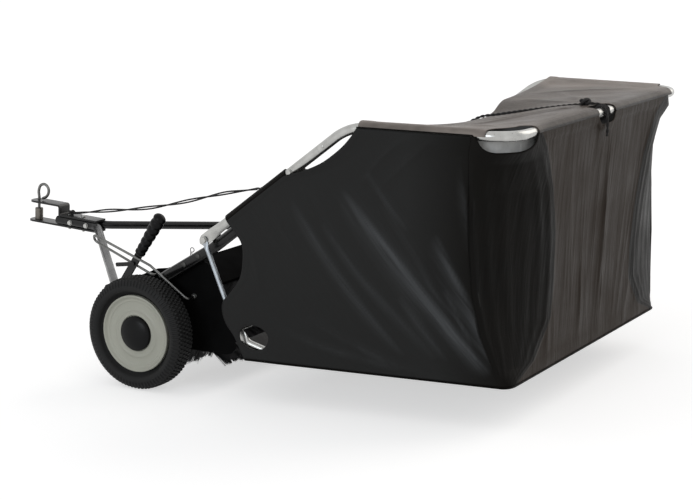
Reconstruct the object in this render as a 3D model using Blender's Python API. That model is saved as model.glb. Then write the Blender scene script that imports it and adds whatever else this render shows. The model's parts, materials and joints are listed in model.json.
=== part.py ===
"""Tow-behind lawn sweeper: a brush housing on two wheels, a tongue with its hitch, and a tipping hopper.

Units are metres. X points to the machine's left, Y to the rear and Z up. Places below are measured from
the point on the ground under the middle of the axle. The whole machine then hangs on one empty, which
moves it along Y so that its origin lies under the middle of its length.
"""
import math

import bmesh
import bpy
import numpy as np
from mathutils import Matrix, Vector
from mathutils.geometry import delaunay_2d_cdt

# General fits
GAP = 0.0003
SLIT = 0.0004
PAD_BLEND = 2.2
RUNNING_CLEARANCE = 0.0005
BOLT_END = 0.004

# Brush drive: an internal ring gear in each wheel turns a pinion on the brush shaft
RING_TEETH = 45
PINION_TEETH = 9
DRIVE_CENTRES = 0.084
GEAR_WIDTH = 0.019
RING_WALL = 0.003
WHEEL_STEPS = 24
BACKLASH = 0.0006

# Wheels
TYRE_R = 0.1524
TYRE_WIDTH = 0.0745
TREAD_DEPTH = 0.005
TREAD_BLOCKS = 12
DISC_R = 0.104
DRUM_WALL = 0.0025
WEB_T = 0.004
AXLE_R = 0.008
COLLAR_R = 0.011
HUB_R = 0.020
HUB_CAP_R = 0.047
HUB_CAP_RISE = 0.013
TYRE_SIDE_CLEARANCE = 0.0047

# Side plates
PLATE_X = 0.520
PLATE_T = 0.0025
PLATE_R = 0.172
PLATE_BOTTOM_Z = 0.100
EAR_HALF_WIDTH = 0.012
TONGUE_EAR_R = 0.016

# Hood
HOOD_R = 0.1695
HOOD_T = 0.0015
HOOD_REAR_ANGLE = 50
HOOD_FRONT_ANGLE = 205
HOOD_LIP = 0.010

# Brush
SHAFT_R = 0.008
BUSH_R = 0.014
BUSH_FLANGE_R = 0.020
BUSH_FLANGE_T = 0.003
BUSH_REACH = 0.005
CORE_HALF = 0.022
CORE_END_PLAY = 0.0045
SLOT_WIDTH = 0.012
SLOT_DEPTH = 0.009
BRISTLE_R = 0.150
BRISTLE_ROWS = 4
STRANDS_PER_ROW = 24
STRAND_R = 0.0021
BRUSH_REST_ANGLE = -33

# Arm tubes, which the hopper rests on
ARM_R = 0.015
ARM_WALL = 0.002
ARM_LOW_ANGLE = 31.1
ARM_LOW_LENGTH = 0.190
ARM_HIGH_LENGTH = 0.366
ARM_BEND_BACK = 0.0155
ARM_PIN_BACK = (0.098, 0.0455)
ARM_CAP_LENGTH = 0.018

# Hopper pivot and tubes
PIVOT_Y = 0.192
PIVOT_Z = 0.4165
HOPPER_ANGLE = 36.9
HOPPER_CLEARANCE = 0.007
PIVOT_BOLT_R = 0.0045
SLEEVE_R = 0.0085
REST_PIN_FROM_END = 0.0165
REST_PIN_R = 0.004
SIDE_TUBE_R = 0.0127
TUBE_WALL = 0.0015
FRAME_JOINT_ALONG = 0.4377
SPIGOT_LENGTH = 0.045
BUTTON_R = 0.0042
BUTTON_ALONG = 0.016
TOP_RISE = 0.0627
TOP_REAR_Y = 1.056
TOP_REAR_X = 0.552
TOP_FRONT_BEND_R = 0.170
TOP_REAR_BEND_R = 0.075
STRUT_R = 0.00635
STRUT_WALL = 0.0012
LOWER_R = 0.0095
LOWER_FRONT_Y = 0.289
LOWER_FRONT_Z = 0.187
LOWER_Z = 0.1278
LOWER_REAR_X = 0.482
LOWER_REAR_Y = 1.020
CROSS_ROD_R = 0.004

# Bag
CLOTH_T = 0.003
TOP_SAG = 0.055
TOP_FRONT_SIDE_Y = 0.657
TOP_FRONT_MIDDLE_Y = 0.715
TOP_FLAT_X = 0.5485
SIDE_BULGE = 0.012
SLEEVE_START_ALONG = 0.099
SLEEVE_END_ALONG = 0.321

# Tongue
TONGUE_Y = -0.112
TONGUE_Z = 0.238
TONGUE_BOLT_R = 0.0045
HITCH_TUBE_R = 0.0125
HITCH_TUBE_WALL = 0.002
HITCH_Y = -0.600
HITCH_Z = 0.282
HITCH_TILT = 3
HITCH_TUBE_FRONT = -0.145
HITCH_TUBE_APART = 0.0175
STRAP_T = 0.006
STRAP_WIDTH = 0.050
LOWER_STRAP_FRONT = -0.260
UPPER_STRAP_FRONT = -0.256
STRAP_STEP = -0.132
UPPER_STRAP_TOP = 0.0485
TOP_BOLT_PLACES = (-0.112, -0.058)
SIDE_BOLT_PLACES = (-0.087, -0.025)
HITCH_BOLT_R = 0.004
HITCH_BOLT_HEAD_R = 0.0068
HITCH_BOLT_HEAD_T = 0.0055
HITCH_PIN_PLACE = -0.234
HITCH_PIN_R = 0.0045
HITCH_SPACER_R = 0.0125
HITCH_SPACER_HEIGHT = 0.035

# Height lever and its wire guide
LEVER_T = 0.005
LEVER_WIDTH = 0.022
LEVER_ANGLE = 56
LEVER_LENGTH = 0.227
LEVER_PIN_AHEAD = 0.032
LEVER_PIN_R = 0.004
GRIP_START = 0.137
GRIP_LENGTH = 0.135
GRIP_R = 0.0165
GRIP_RIBS = 5
LATCH_ALONG = 0.102
LATCH_LENGTH = 0.062
LATCH_HEIGHT = 0.011
LATCH_T = 0.0045
GUIDE_R = 0.0035
GUIDE_NUT_R = 0.0065
GUIDE_NUT_T = 0.005
GUIDE_BOLT_PLACE = (0.121, 0.247)
GUIDE_LOW_PLACE = (0.003, 0.296)

# Dump rope
ROPE_R = 0.004
ROPE_PITCH = 0.0095
ROPE_TURNS = 2.25

# Worked out from the sizes above
GEAR_MODULE = 2 * DRIVE_CENTRES / (RING_TEETH - PINION_TEETH)
AXLE_Z = TYRE_R
BRUSH_Y = DRIVE_CENTRES
BRUSH_Z = AXLE_Z
CORE_HALF_LENGTH = PLATE_X - PLATE_T - BUSH_REACH - CORE_END_PLAY
ARM_X = PLATE_X + GAP + ARM_R
ARM_OUTER_X = ARM_X + ARM_R
UPPER_LEG_X = ARM_OUTER_X + RUNNING_CLEARANCE + GUIDE_R
LEVER_X = UPPER_LEG_X - GUIDE_R - RUNNING_CLEARANCE - LEVER_T / 2
LOWER_LEG_X = LEVER_X - LEVER_T / 2 - RUNNING_CLEARANCE - GUIDE_R
TYRE_INNER_X = UPPER_LEG_X + GUIDE_R + TYRE_SIDE_CLEARANCE
SIDE_TUBE_X = ARM_OUTER_X + HOPPER_CLEARANCE + SIDE_TUBE_R
SIDE_FLAT_T = 2 * TUBE_WALL + SLIT
STRUT_FLAT_T = 2 * STRUT_WALL + SLIT
STRUT_X = SIDE_TUBE_X + SIDE_FLAT_T / 2 + GAP + STRUT_FLAT_T / 2
REST_OFFSET = ARM_R + SLEEVE_R + RUNNING_CLEARANCE
ALONG = np.array([math.cos(math.radians(HOPPER_ANGLE)), math.sin(math.radians(HOPPER_ANGLE))])
ABOVE = np.array([-ALONG[1], ALONG[0]])
REST_PIN_ALONG = ARM_HIGH_LENGTH - ARM_BEND_BACK - REST_PIN_FROM_END
TOP_Z = PIVOT_Z + FRAME_JOINT_ALONG * ALONG[1] + TOP_RISE
PIVOT = np.array([PIVOT_Y, PIVOT_Z])
ARM_FOOT = PIVOT - REST_OFFSET * ABOVE
ARM_BEND = ARM_FOOT - ARM_BEND_BACK * ALONG
LOW_ALONG = np.array([math.cos(math.radians(ARM_LOW_ANGLE)), math.sin(math.radians(ARM_LOW_ANGLE))])
LOW_ABOVE = np.array([-LOW_ALONG[1], LOW_ALONG[0]])
REAR_SKIN_TOP_Y = TOP_REAR_Y + SIDE_TUBE_R + GAP + CLOTH_T
REAR_SKIN_LOW_Y = LOWER_REAR_Y + LOWER_R + GAP + CLOTH_T
TOP_SKIN_Z = TOP_Z + SIDE_TUBE_R + GAP + CLOTH_T
LOW_SKIN_Z = LOWER_Z - LOWER_R - GAP - CLOTH_T
TILT = math.radians(HITCH_TILT)
STRAP_LOW_Z = -HITCH_TUBE_R - GAP - STRAP_T


def rear_skin_y(z):
    """Outer face of the bag's rear panel: a straight slope between the lower and the upper rear tube."""
    return REAR_SKIN_LOW_Y + (REAR_SKIN_TOP_Y - REAR_SKIN_LOW_Y) * (z - LOWER_Z) / (TOP_Z - LOWER_Z)


def hitch_place(x, along, above):
    """A point of the hitch head, which is tilted front up, in the machine's frame."""
    y = HITCH_Y + along * math.cos(TILT) + above * math.sin(TILT)
    z = HITCH_Z - along * math.sin(TILT) + above * math.cos(TILT)
    return np.array([x, y, z])


FRONT_REACH_Y = hitch_place(0, LOWER_STRAP_FRONT, STRAP_LOW_Z)[1]
REAR_REACH_Y = rear_skin_y(TOP_SKIN_Z - CLOTH_T / 2)
AXLE_Y = -(FRONT_REACH_Y + REAR_REACH_Y) / 2


# Scene, materials and placing

def clear_scene():
    for obj in list(bpy.data.objects):
        bpy.data.objects.remove(obj, do_unlink=True)


def material(name, colour, roughness, metallic=0.0):
    made = bpy.data.materials.new(name)
    made.use_nodes = True
    shader = made.node_tree.nodes["Principled BSDF"]
    shader.inputs["Base Color"].default_value = (*colour, 1.0)
    shader.inputs["Roughness"].default_value = roughness
    shader.inputs["Metallic"].default_value = metallic
    return made


def empty(name, place=(0, 0, 0), parent=None, turn=(0, 0, 0)):
    """An empty whose place is given in the machine's frame."""
    made = bpy.data.objects.new(name, None)
    bpy.context.collection.objects.link(made)
    made.location = place
    made.rotation_euler = turn
    hang(made, parent)
    return made


def hang(obj, parent):
    """Parents an object and keeps its place in the machine's frame."""
    if parent is None:
        return
    bpy.context.view_layer.update()
    obj.parent = parent
    obj.matrix_parent_inverse = (machine.matrix_world.inverted() @ parent.matrix_world).inverted()


def mesh_object(name, points, faces, look, parent):
    """A mesh object with its doubles merged, its faces turned outwards and its round sides smooth."""
    mesh = bpy.data.meshes.new(name)
    mesh.from_pydata([tuple(map(float, point)) for point in points], [], faces)
    return finished(name, mesh, look, parent)


def finished(name, mesh, look, parent):
    shaped = bmesh.new()
    shaped.from_mesh(mesh)
    bmesh.ops.remove_doubles(shaped, verts=shaped.verts, dist=1e-6)
    bmesh.ops.recalc_face_normals(shaped, faces=shaped.faces)
    shaped.to_mesh(mesh)
    shaped.free()
    mesh.shade_smooth()
    mesh.set_sharp_from_angle(angle=math.radians(35))
    obj = bpy.data.objects.new(name, mesh)
    bpy.context.collection.objects.link(obj)
    if look is not None:
        mesh.materials.append(look)
    hang(obj, parent)
    return obj


def hide(obj):
    obj.hide_render = True
    obj.display_type = "WIRE"
    return obj


def boolean(obj, other, operation):
    step = obj.modifiers.new(f"{operation.lower()} {other.name}", "BOOLEAN")
    step.object = hide(other)
    step.operation = operation


# Paths and outlines

def unit(vector):
    return vector / np.linalg.norm(vector)


def arc_corner(before, corner, after, radius, steps):
    """Points of the arc of this radius that rounds a corner between two straight runs."""
    back, ahead = unit(before - corner), unit(after - corner)
    half = math.acos(np.clip(back @ ahead, -1, 1)) / 2
    if radius <= 0 or half > math.pi / 2 - 1e-4:
        return [corner]
    radius = min(
        radius, 0.49 * math.tan(half) * min(np.linalg.norm(before - corner), np.linalg.norm(after - corner))
    )
    centre = corner + unit(back + ahead) * radius / math.sin(half)
    first = corner + back * radius / math.tan(half) - centre
    last = corner + ahead * radius / math.tan(half) - centre
    sweep = math.pi - 2 * half
    parts = np.linspace(0, 1, steps + 1)
    return [
        centre + (math.sin((1 - p) * sweep) * first + math.sin(p * sweep) * last) / math.sin(sweep)
        for p in parts
    ]


def rounded_path(corners, radii, steps):
    """A run through the corners, with each inner corner rounded by its own radius in its own number of steps."""
    corners = [np.array(corner, float) for corner in corners]
    path = [corners[0]]
    for i, (radius, count) in enumerate(zip(radii, steps), 1):
        path += arc_corner(corners[i - 1], corners[i], corners[i + 1], radius, count)
    return np.array(path + [corners[-1]])


def rounded_outline(corners, steps=3):
    """A closed outline from (u, v, radius) corners."""
    places = [np.array(corner[:2], float) for corner in corners]
    outline = []
    for i, corner in enumerate(corners):
        outline += arc_corner(places[i - 1], places[i], places[(i + 1) % len(places)], corner[2], steps)
    return np.array(outline)


def circle(centre, radius, steps=16, start=0.0):
    angles = start + np.arange(steps) * 2 * math.pi / steps
    return np.column_stack([centre[0] + radius * np.cos(angles), centre[1] + radius * np.sin(angles)])


def hole(centre, radius, steps=6, start=0.0):
    """A hole's outline, whose flats lie on the circle, so that a round piece of that radius just passes."""
    return circle(centre, radius / math.cos(math.pi / steps), steps, start)


def smooth_through(points, spacing):
    """A Catmull-Rom curve through the points, read at about even spacing."""
    points = np.array(points, float)
    ends = np.vstack([2 * points[0] - points[1], points, 2 * points[-1] - points[-2]])
    fine = [points[0]]
    for a, b, c, d in zip(ends, ends[1:], ends[2:], ends[3:]):
        for t in np.linspace(0, 1, 25)[1:]:
            fine.append(
                0.5
                * (2 * b + (c - a) * t + (2 * a - 5 * b + 4 * c - d) * t**2 + (3 * b - a - 3 * c + d) * t**3)
            )
    return evenly(np.array(fine), spacing)


def evenly(path, spacing):
    run = np.concatenate([[0], np.cumsum(np.linalg.norm(np.diff(path, axis=0), axis=1))])
    places = np.linspace(0, run[-1], max(2, round(run[-1] / spacing) + 1))
    return np.column_stack([np.interp(places, run, path[:, axis]) for axis in range(path.shape[1])])


def with_places(path, distances, apart=0.003):
    """The path with further points at these distances from its start, left out where a point is already near."""
    run = np.concatenate([[0], np.cumsum(np.linalg.norm(np.diff(path, axis=0), axis=1))])
    extra = [d for d in distances if np.abs(run - d).min() > apart]
    places = np.sort(np.concatenate([run, extra]))
    return np.column_stack([np.interp(places, run, path[:, axis]) for axis in range(3)])


def sided(path, side):
    """The path on this side of the machine: 1 is left and -1 is right."""
    return np.array(path, float) * (side, 1, 1)


# Solids

def pad_marks(half_width, pad):
    """Where a pressed end needs rings of points, as distances from its tip."""
    return half_width * np.array([0.5, pad, pad + PAD_BLEND / 2, pad + PAD_BLEND])


def flatness(distance, half_width, pad):
    """How flat a pressed tube end is: 1 over the pad, falling smoothly to 0 where the tube is round."""
    part = np.clip((distance / half_width - pad) / PAD_BLEND, 0, 1)
    return 1 - part * part * (3 - 2 * part)


def tip_width(distance, half_width):
    """Width of the rounded tip as a share of the pad's width."""
    part = np.clip(1 - distance / half_width, 0, 1)
    return math.sqrt(max(1 - part * part, 0.16))


def tube(
    name, path, radius, wall, look, parent, flat_ends=(), spigot=None, sides=8, thin=(1, 0, 0), pad=2.0
):
    """A hollow tube with open ends. A pressed end is a pad, thin along one direction, with a rounded tip."""
    half_width = math.pi * radius / 2
    path = np.array(path, float)
    length = np.linalg.norm(np.diff(path, axis=0), axis=1).sum()
    marks = pad_marks(half_width, pad)
    if "start" in flat_ends:
        path = with_places(path, marks)
    if "end" in flat_ends:
        path = with_places(path, length - marks)
    if spigot:
        path = with_places(path, [length - spigot[1] - 0.0005, length - spigot[1]], 0.0)
    run = np.concatenate([[0], np.cumsum(np.linalg.norm(np.diff(path, axis=0), axis=1))])
    angles = np.arange(sides) * 2 * math.pi / sides
    across, through = np.cos(angles), np.sin(angles)
    pad_through = np.clip(2 * through, -1, 1)
    outer, inner = [], []
    for i, place in enumerate(path):
        heading = unit(path[min(i + 1, len(path) - 1)] - path[max(i - 1, 0)])
        thin_way = unit(np.array(thin, float) - heading * (np.array(thin, float) @ heading))
        wide_way = np.cross(thin_way, heading)
        flat, tip = 0.0, 1.0
        if "start" in flat_ends:
            flat, tip = flatness(run[i], half_width, pad), tip_width(run[i], half_width)
        if "end" in flat_ends:
            back = run[-1] - run[i]
            flat, tip = max(flat, flatness(back, half_width, pad)), min(tip, tip_width(back, half_width))
        size = spigot[0] if spigot and run[i] > run[-1] - spigot[1] - 1e-6 else radius
        for rings, r, pad_w, pad_t in (
            (outer, size, half_width * tip, wall + SLIT / 2),
            (inner, size - wall, half_width * tip - wall, SLIT / 2),
        ):
            wide = (1 - flat) * r * across + flat * pad_w * across
            deep = (1 - flat) * r * through + flat * pad_t * pad_through
            rings.append(place + np.outer(wide, wide_way) + np.outer(deep, thin_way))
    return lofted_tube(name, np.array(outer), np.array(inner), look, parent)


def lofted_tube(name, outer, inner, look, parent):
    """Joins rings of points, an outer and an inner set, into one closed wall."""
    count, sides = outer.shape[:2]
    points = np.concatenate([outer.reshape(-1, 3), inner.reshape(-1, 3)])
    shift = count * sides
    faces = []
    for i in range(count - 1):
        for j in range(sides):
            a, b = i * sides + j, i * sides + (j + 1) % sides
            faces.append((a, b, b + sides, a + sides))
            faces.append((shift + b, shift + a, shift + a + sides, shift + b + sides))
    for i in (0, count - 1):
        for j in range(sides):
            a, b = i * sides + j, i * sides + (j + 1) % sides
            faces.append((a, b, shift + b, shift + a))
    return mesh_object(name, points, faces, look, parent)


def rod(name, path, radius, look, parent, resolution=2):
    """A round rod or rope along a path, with filled ends, made from a bevelled curve."""
    curve = bpy.data.curves.new(name, "CURVE")
    curve.dimensions = "3D"
    curve.bevel_depth = radius
    curve.bevel_resolution = resolution
    curve.use_fill_caps = True
    spline = curve.splines.new("POLY")
    spline.points.add(len(path) - 1)
    for point, place in zip(spline.points, path):
        point.co = (*map(float, place), 1.0)
    obj = bpy.data.objects.new(name, curve)
    bpy.context.collection.objects.link(obj)
    if look is not None:
        curve.materials.append(look)
    hang(obj, parent)
    return obj


def rod_mesh(name, path, radius, look, parent, resolution=1):
    """The same rod as a mesh, so that a Boolean can use it."""
    curve = rod(name + " curve", path, radius, None, None, resolution)
    bpy.context.view_layer.update()
    mesh = bpy.data.meshes.new_from_object(curve)
    bpy.data.objects.remove(curve, do_unlink=True)
    mesh.name = name
    return finished(name, mesh, look, parent)


def flat_piece(name, outline, holes, thickness, look, parent, normal="X", at=(0, 0, 0)):
    """A plate cut from sheet: a filled flat curve with holes, given its thickness and then turned.

    With normal X the outline is (Y, Z). With normal Z it is (X, Y).
    """
    curve = bpy.data.curves.new(name, "CURVE")
    curve.dimensions = "2D"
    curve.fill_mode = "BOTH"
    curve.extrude = thickness / 2
    for loop in [outline, *holes]:
        spline = curve.splines.new("POLY")
        spline.use_cyclic_u = True
        spline.points.add(len(loop) - 1)
        for point, place in zip(spline.points, loop):
            point.co = (float(place[0]), float(place[1]), 0.0, 1.0)
    helper = bpy.data.objects.new(name + " curve", curve)
    bpy.context.collection.objects.link(helper)
    bpy.context.view_layer.update()
    mesh = bpy.data.meshes.new_from_object(helper)
    bpy.data.objects.remove(helper, do_unlink=True)
    mesh.name = name
    turn = Matrix.Identity(4)
    if normal == "X":
        turn = Matrix(((0, 0, 1, 0), (1, 0, 0, 0), (0, 1, 0, 0), (0, 0, 0, 1)))
    mesh.transform(Matrix.Translation(Vector(at)) @ turn)
    return finished(name, mesh, look, parent)


def turned(name, profile, centre, look, parent, steps=16, side=1, turn=None):
    """A closed (x, radius) profile spun about the line along X through the centre (y, z)."""
    shaped = bmesh.new()
    rim = [shaped.verts.new((x, 0, max(r, 0))) for x, r in profile]
    edges = [shaped.edges.new((rim[i], rim[(i + 1) % len(rim)])) for i in range(len(rim))]
    bmesh.ops.spin(
        shaped, geom=rim + edges, cent=(0, 0, 0), axis=(1, 0, 0), angle=2 * math.pi, steps=steps,
        use_merge=True
    )
    mesh = bpy.data.meshes.new(name)
    shaped.to_mesh(mesh)
    shaped.free()
    place = Matrix.Translation((0, centre[0], centre[1])) if turn is None else turn
    mesh.transform(Matrix.Scale(side, 4, (1, 0, 0)) @ place)
    return finished(name, mesh, look, parent)


def round_bar(name, start, end, radius, steps=6, parent=None):
    """A plain round bar between two points, for cutting holes or joining on."""
    start, end = Vector(map(float, start)), Vector(map(float, end))
    shaped = bmesh.new()
    turn = (end - start).to_track_quat("Z", "Y").to_matrix().to_4x4()
    bmesh.ops.create_cone(
        shaped, cap_ends=True, segments=steps, radius1=radius, radius2=radius, depth=(end - start).length,
        matrix=Matrix.Translation((start + end) / 2) @ turn,
    )
    mesh = bpy.data.meshes.new(name)
    shaped.to_mesh(mesh)
    shaped.free()
    return finished(name, mesh, None, parent)


def block(name, low, high, parent=None):
    """A plain box between two corners, for cutting or joining on."""
    low, high = np.array(low, float), np.array(high, float)
    shaped = bmesh.new()
    size = Matrix.Diagonal((*(high - low), 1))
    bmesh.ops.create_cube(shaped, size=1, matrix=Matrix.Translation((low + high) / 2) @ size)
    mesh = bpy.data.meshes.new(name)
    shaped.to_mesh(mesh)
    shaped.free()
    return finished(name, mesh, None, parent)


def drill(obj, centre, radius, x_from, x_to):
    """A hole along X through a piece."""
    start, end = (x_from, *centre), (x_to, *centre)
    radius /= math.cos(math.pi / 6)
    boolean(
        obj, round_bar(f"drill {obj.name} {len(obj.modifiers)}", start, end, radius, parent=obj.parent),
        "DIFFERENCE"
    )


# Gears

def tooth_outline(teeth, pitch_r, root_r, tip_r, half_root, half_tip):
    """A gear outline with straight-flanked teeth, half as wide at root and tip as given in radians."""
    angles, radii = [], []
    for k in range(teeth):
        middle = 2 * math.pi * k / teeth
        angles += [middle - half_root, middle - half_tip, middle + half_tip, middle + half_root]
        radii += [root_r, tip_r, tip_r, root_r]
    angles, radii = np.array(angles), np.array(radii)
    return np.column_stack([radii * np.cos(angles), radii * np.sin(angles)])


def pinion_outline():
    """Pinion on the brush shaft. Its tooth is narrower at the tip than at the pitch line."""
    pitch_r = GEAR_MODULE * PINION_TEETH / 2
    half_pitch = math.pi / PINION_TEETH / 2 - BACKLASH / 2 / pitch_r
    tip_r, root_r = pitch_r + 0.85 * GEAR_MODULE, pitch_r - 1.15 * GEAR_MODULE
    slope = math.tan(math.radians(22)) / pitch_r
    half_tip = half_pitch - slope * (tip_r - pitch_r)
    half_root = half_pitch + slope * 0.7 * (pitch_r - root_r)
    return tooth_outline(PINION_TEETH, pitch_r, root_r, tip_r, half_root, half_tip)


def ring_outline():
    """Inner outline of the ring gear, whose teeth point at the axle."""
    pitch_r = GEAR_MODULE * RING_TEETH / 2
    half_pitch = math.pi / RING_TEETH / 2 - BACKLASH / 2 / pitch_r
    tip_r, root_r = pitch_r - 0.7 * GEAR_MODULE, pitch_r + 1.1 * GEAR_MODULE
    slope = math.tan(math.radians(18)) / pitch_r
    half_tip = half_pitch - slope * (pitch_r - tip_r)
    half_root = half_pitch + slope * (root_r - pitch_r)
    return tooth_outline(RING_TEETH, pitch_r, root_r, tip_r, half_root, half_tip)


RING_OUTER_R = GEAR_MODULE * (RING_TEETH / 2 + 1.1) + RING_WALL
DRUM_INNER_R = RING_OUTER_R + GAP
DRUM_OUTER_R = DRUM_INNER_R + DRUM_WALL
GEAR_X = TYRE_INNER_X + 0.003
GEAR_OUTER_X = GEAR_X + GEAR_WIDTH
WHEEL_OUTER_X = TYRE_INNER_X + TYRE_WIDTH


def turn_points(points, angle, centre):
    """Turns (y, z) points about the origin by an angle in radians and moves them to a centre."""
    c, s = math.cos(angle), math.sin(angle)
    return points @ np.array([[c, s], [-s, c]]) + centre


# Chassis

def plate_outline():
    """Side plate: rounded below and behind the brush, an ear under the arm tube, and one for the tongue."""
    reach = BRUSH_Y + PLATE_R
    low_edge = ARM_BEND - EAR_HALF_WIDTH * LOW_ABOVE
    upper_start = ARM_BEND - 0.82 * ARM_LOW_LENGTH * LOW_ALONG + EAR_HALF_WIDTH * LOW_ABOVE
    ear_low = PIVOT + 0.016 * ALONG - (REST_OFFSET + EAR_HALF_WIDTH) * ABOVE
    ear_right = PIVOT + 0.016 * ALONG + 0.014 * ABOVE
    ear_left = PIVOT - 0.016 * ALONG + 0.014 * ABOVE
    ear_foot = ARM_BEND - 0.002 * LOW_ALONG + EAR_HALF_WIDTH * LOW_ABOVE
    meet = low_edge - 0.064 * LOW_ALONG
    corners = [
        (reach, PLATE_BOTTOM_Z, 0.080),
        (reach, 0.178, 0.060),
        (0.172, 0.342, 0.028),
        (*meet, 0.004),
        (*low_edge, 0.0),
        (*ear_low, 0.004),
        (*ear_right, 0.013),
        (*ear_left, 0.013),
        (*ear_foot, 0.006),
        (*upper_start, 0.010),
        (0.002, 0.310, 0.020),
        (TONGUE_Y - TONGUE_EAR_R, TONGUE_Z + TONGUE_EAR_R, TONGUE_EAR_R),
        (TONGUE_Y - TONGUE_EAR_R, TONGUE_Z - TONGUE_EAR_R, TONGUE_EAR_R),
        (BRUSH_Y - PLATE_R, 0.190, 0.020),
        (BRUSH_Y - PLATE_R, PLATE_BOTTOM_Z, 0.060),
    ]
    return rounded_outline(corners)


def arm_pin_places():
    return [ARM_BEND - back * LOW_ALONG for back in ARM_PIN_BACK]


def side_plate(name, side):
    holes = [
        hole((0, AXLE_Z), AXLE_R + GAP),
        hole((BRUSH_Y, BRUSH_Z), BUSH_R + GAP, 10, math.pi / 2),
        hole(PIVOT, PIVOT_BOLT_R + GAP),
        hole((TONGUE_Y, TONGUE_Z), TONGUE_BOLT_R + GAP),
        *[hole(place, REST_PIN_R + GAP) for place in arm_pin_places()],
    ]
    if side > 0:
        holes += [hole(GUIDE_BOLT_PLACE, GUIDE_R + GAP), hole(GUIDE_LOW_PLACE, GUIDE_R + GAP)]
    middle = side * (PLATE_X - PLATE_T / 2)
    return flat_piece(name, plate_outline(), holes, PLATE_T, black_steel, machine, at=(middle, 0, 0))


def brush_hood():
    """The hood's section is an arc of sheet with a lip standing out at its rear edge, notched at the guide's nut."""
    angles = np.radians(np.linspace(HOOD_REAR_ANGLE, HOOD_FRONT_ANGLE, 17))
    ways = np.column_stack([np.cos(angles), np.sin(angles)])
    lip = [
        ways[0] * (HOOD_R + HOOD_LIP),
        ways[0] * (HOOD_R + HOOD_LIP) + HOOD_T * np.array([-ways[0][1], ways[0][0]])
    ]
    section = np.vstack([ways[::-1] * (HOOD_R - HOOD_T), lip, ways[1:] * HOOD_R])
    half = PLATE_X - PLATE_T - GAP
    hood = flat_piece("brush_hood", section + (BRUSH_Y, BRUSH_Z), [], 2 * half, black_steel, machine)
    drill(hood, GUIDE_LOW_PLACE, GUIDE_NUT_R + 0.0015, half - GUIDE_NUT_T - BOLT_END - 0.002, half + 0.01)


def arm_path(side):
    low = ARM_BEND - ARM_LOW_LENGTH * LOW_ALONG
    high = ARM_BEND + ARM_HIGH_LENGTH * ALONG
    corners = [(ARM_X, *low), (ARM_X, *ARM_BEND), (ARM_X, *high)]
    return sided(rounded_path(corners, [0.15], [2]), side)


def arm_tube(name, side):
    piece = tube(name, arm_path(side), ARM_R, ARM_WALL, black_steel, machine)
    for place in arm_pin_places():
        drill(piece, place, REST_PIN_R + GAP, side * (PLATE_X - 0.01), side * (ARM_OUTER_X + 0.01))


def arm_cap(name, side):
    """Plastic cap: a stem inside the tube and a domed flange over its end."""
    bore = ARM_R - ARM_WALL - GAP
    dome = [(0.0045 * math.sin(t), ARM_R * math.cos(t) ** 0.5) for t in np.linspace(0.4, math.pi / 2, 4)]
    profile = [(-ARM_CAP_LENGTH, 0), (-ARM_CAP_LENGTH, bore), (0, bore), (0, ARM_R), *dome[:-1]]
    profile += [(0.0045, 0)]
    end = ARM_BEND + (ARM_HIGH_LENGTH + GAP) * ALONG
    heading = Vector((0, *map(float, ALONG)))
    turn = Matrix.Translation((ARM_X, *map(float, end))) @ heading.to_track_quat(
        "X", "Z"
    ).to_matrix().to_4x4()
    turned(name, profile, None, black_plastic, machine, 8, side, turn)


def arm_pin(name, place, side):
    """Clevis pin with its hair cotter: a bent wire through the pin's inner end, looped above it."""
    x_in, x_out = PLATE_X - PLATE_T - 0.012, ARM_OUTER_X + GAP
    profile = [(x_in, 0), (x_in, REST_PIN_R), (x_out, REST_PIN_R), (x_out, 0.007), (x_out + 0.0025, 0.006)]
    profile += [(x_out + 0.0025, 0)]
    pin = turned(name, profile, place, zinc, machine, 6, side)
    x, y, z = x_in + 0.005, *place
    loop = [
        (x, y + 0.006 * math.sin(a), z + 0.033 - 0.006 * math.cos(a))
        for a in np.radians(range(-20, 301, 64))
    ]
    wire = [(x, y, z - 0.012), (x, y, z + 0.012), *loop, (x, y - 0.0075, z + 0.012)]
    boolean(pin, rod_mesh(name + " cotter", sided(wire, side), 0.0011, None, machine, 0), "UNION")


def axle_bolt(name, side):
    """Stub axle: nut inside the plate, collar between plate and wheel, shank through the hub, outer nut."""
    inner, outer = PLATE_X - PLATE_T - GAP, PLATE_X + GAP
    hub_in, hub_out = TYRE_INNER_X + 0.0005, WHEEL_OUTER_X - 0.0125
    profile = [
        (inner - 0.012, 0), (inner - 0.012, AXLE_R), (inner - 0.009, AXLE_R), (inner - 0.009, 0.013),
        (inner, 0.013),
        (inner, AXLE_R), (outer, AXLE_R), (outer, COLLAR_R), (hub_in - GAP, COLLAR_R),
        (hub_in - GAP, AXLE_R),
        (hub_out + GAP, AXLE_R), (hub_out + GAP, 0.0125), (hub_out + 0.004, 0.0125), (hub_out + 0.004, 0),
    ]
    turned(name, profile, (0, AXLE_Z), zinc, machine, 6, side)


def shaft_bearing(name, side):
    """Flanged bush in the plate: the flange lies on the plate's outer face."""
    bore, face = (SHAFT_R + GAP) / math.cos(math.pi / 10), PLATE_X + GAP
    profile = [
        (PLATE_X - PLATE_T - BUSH_REACH, bore), (face + BUSH_FLANGE_T, bore),
        (face + BUSH_FLANGE_T, BUSH_FLANGE_R - 0.001),
        (face + 0.001, BUSH_FLANGE_R), (face, BUSH_FLANGE_R), (face, BUSH_R),
        (PLATE_X - PLATE_T - BUSH_REACH, BUSH_R),
    ]
    turned(name, profile, (BRUSH_Y, BRUSH_Z), black_plastic, machine, 10, side)


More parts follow.
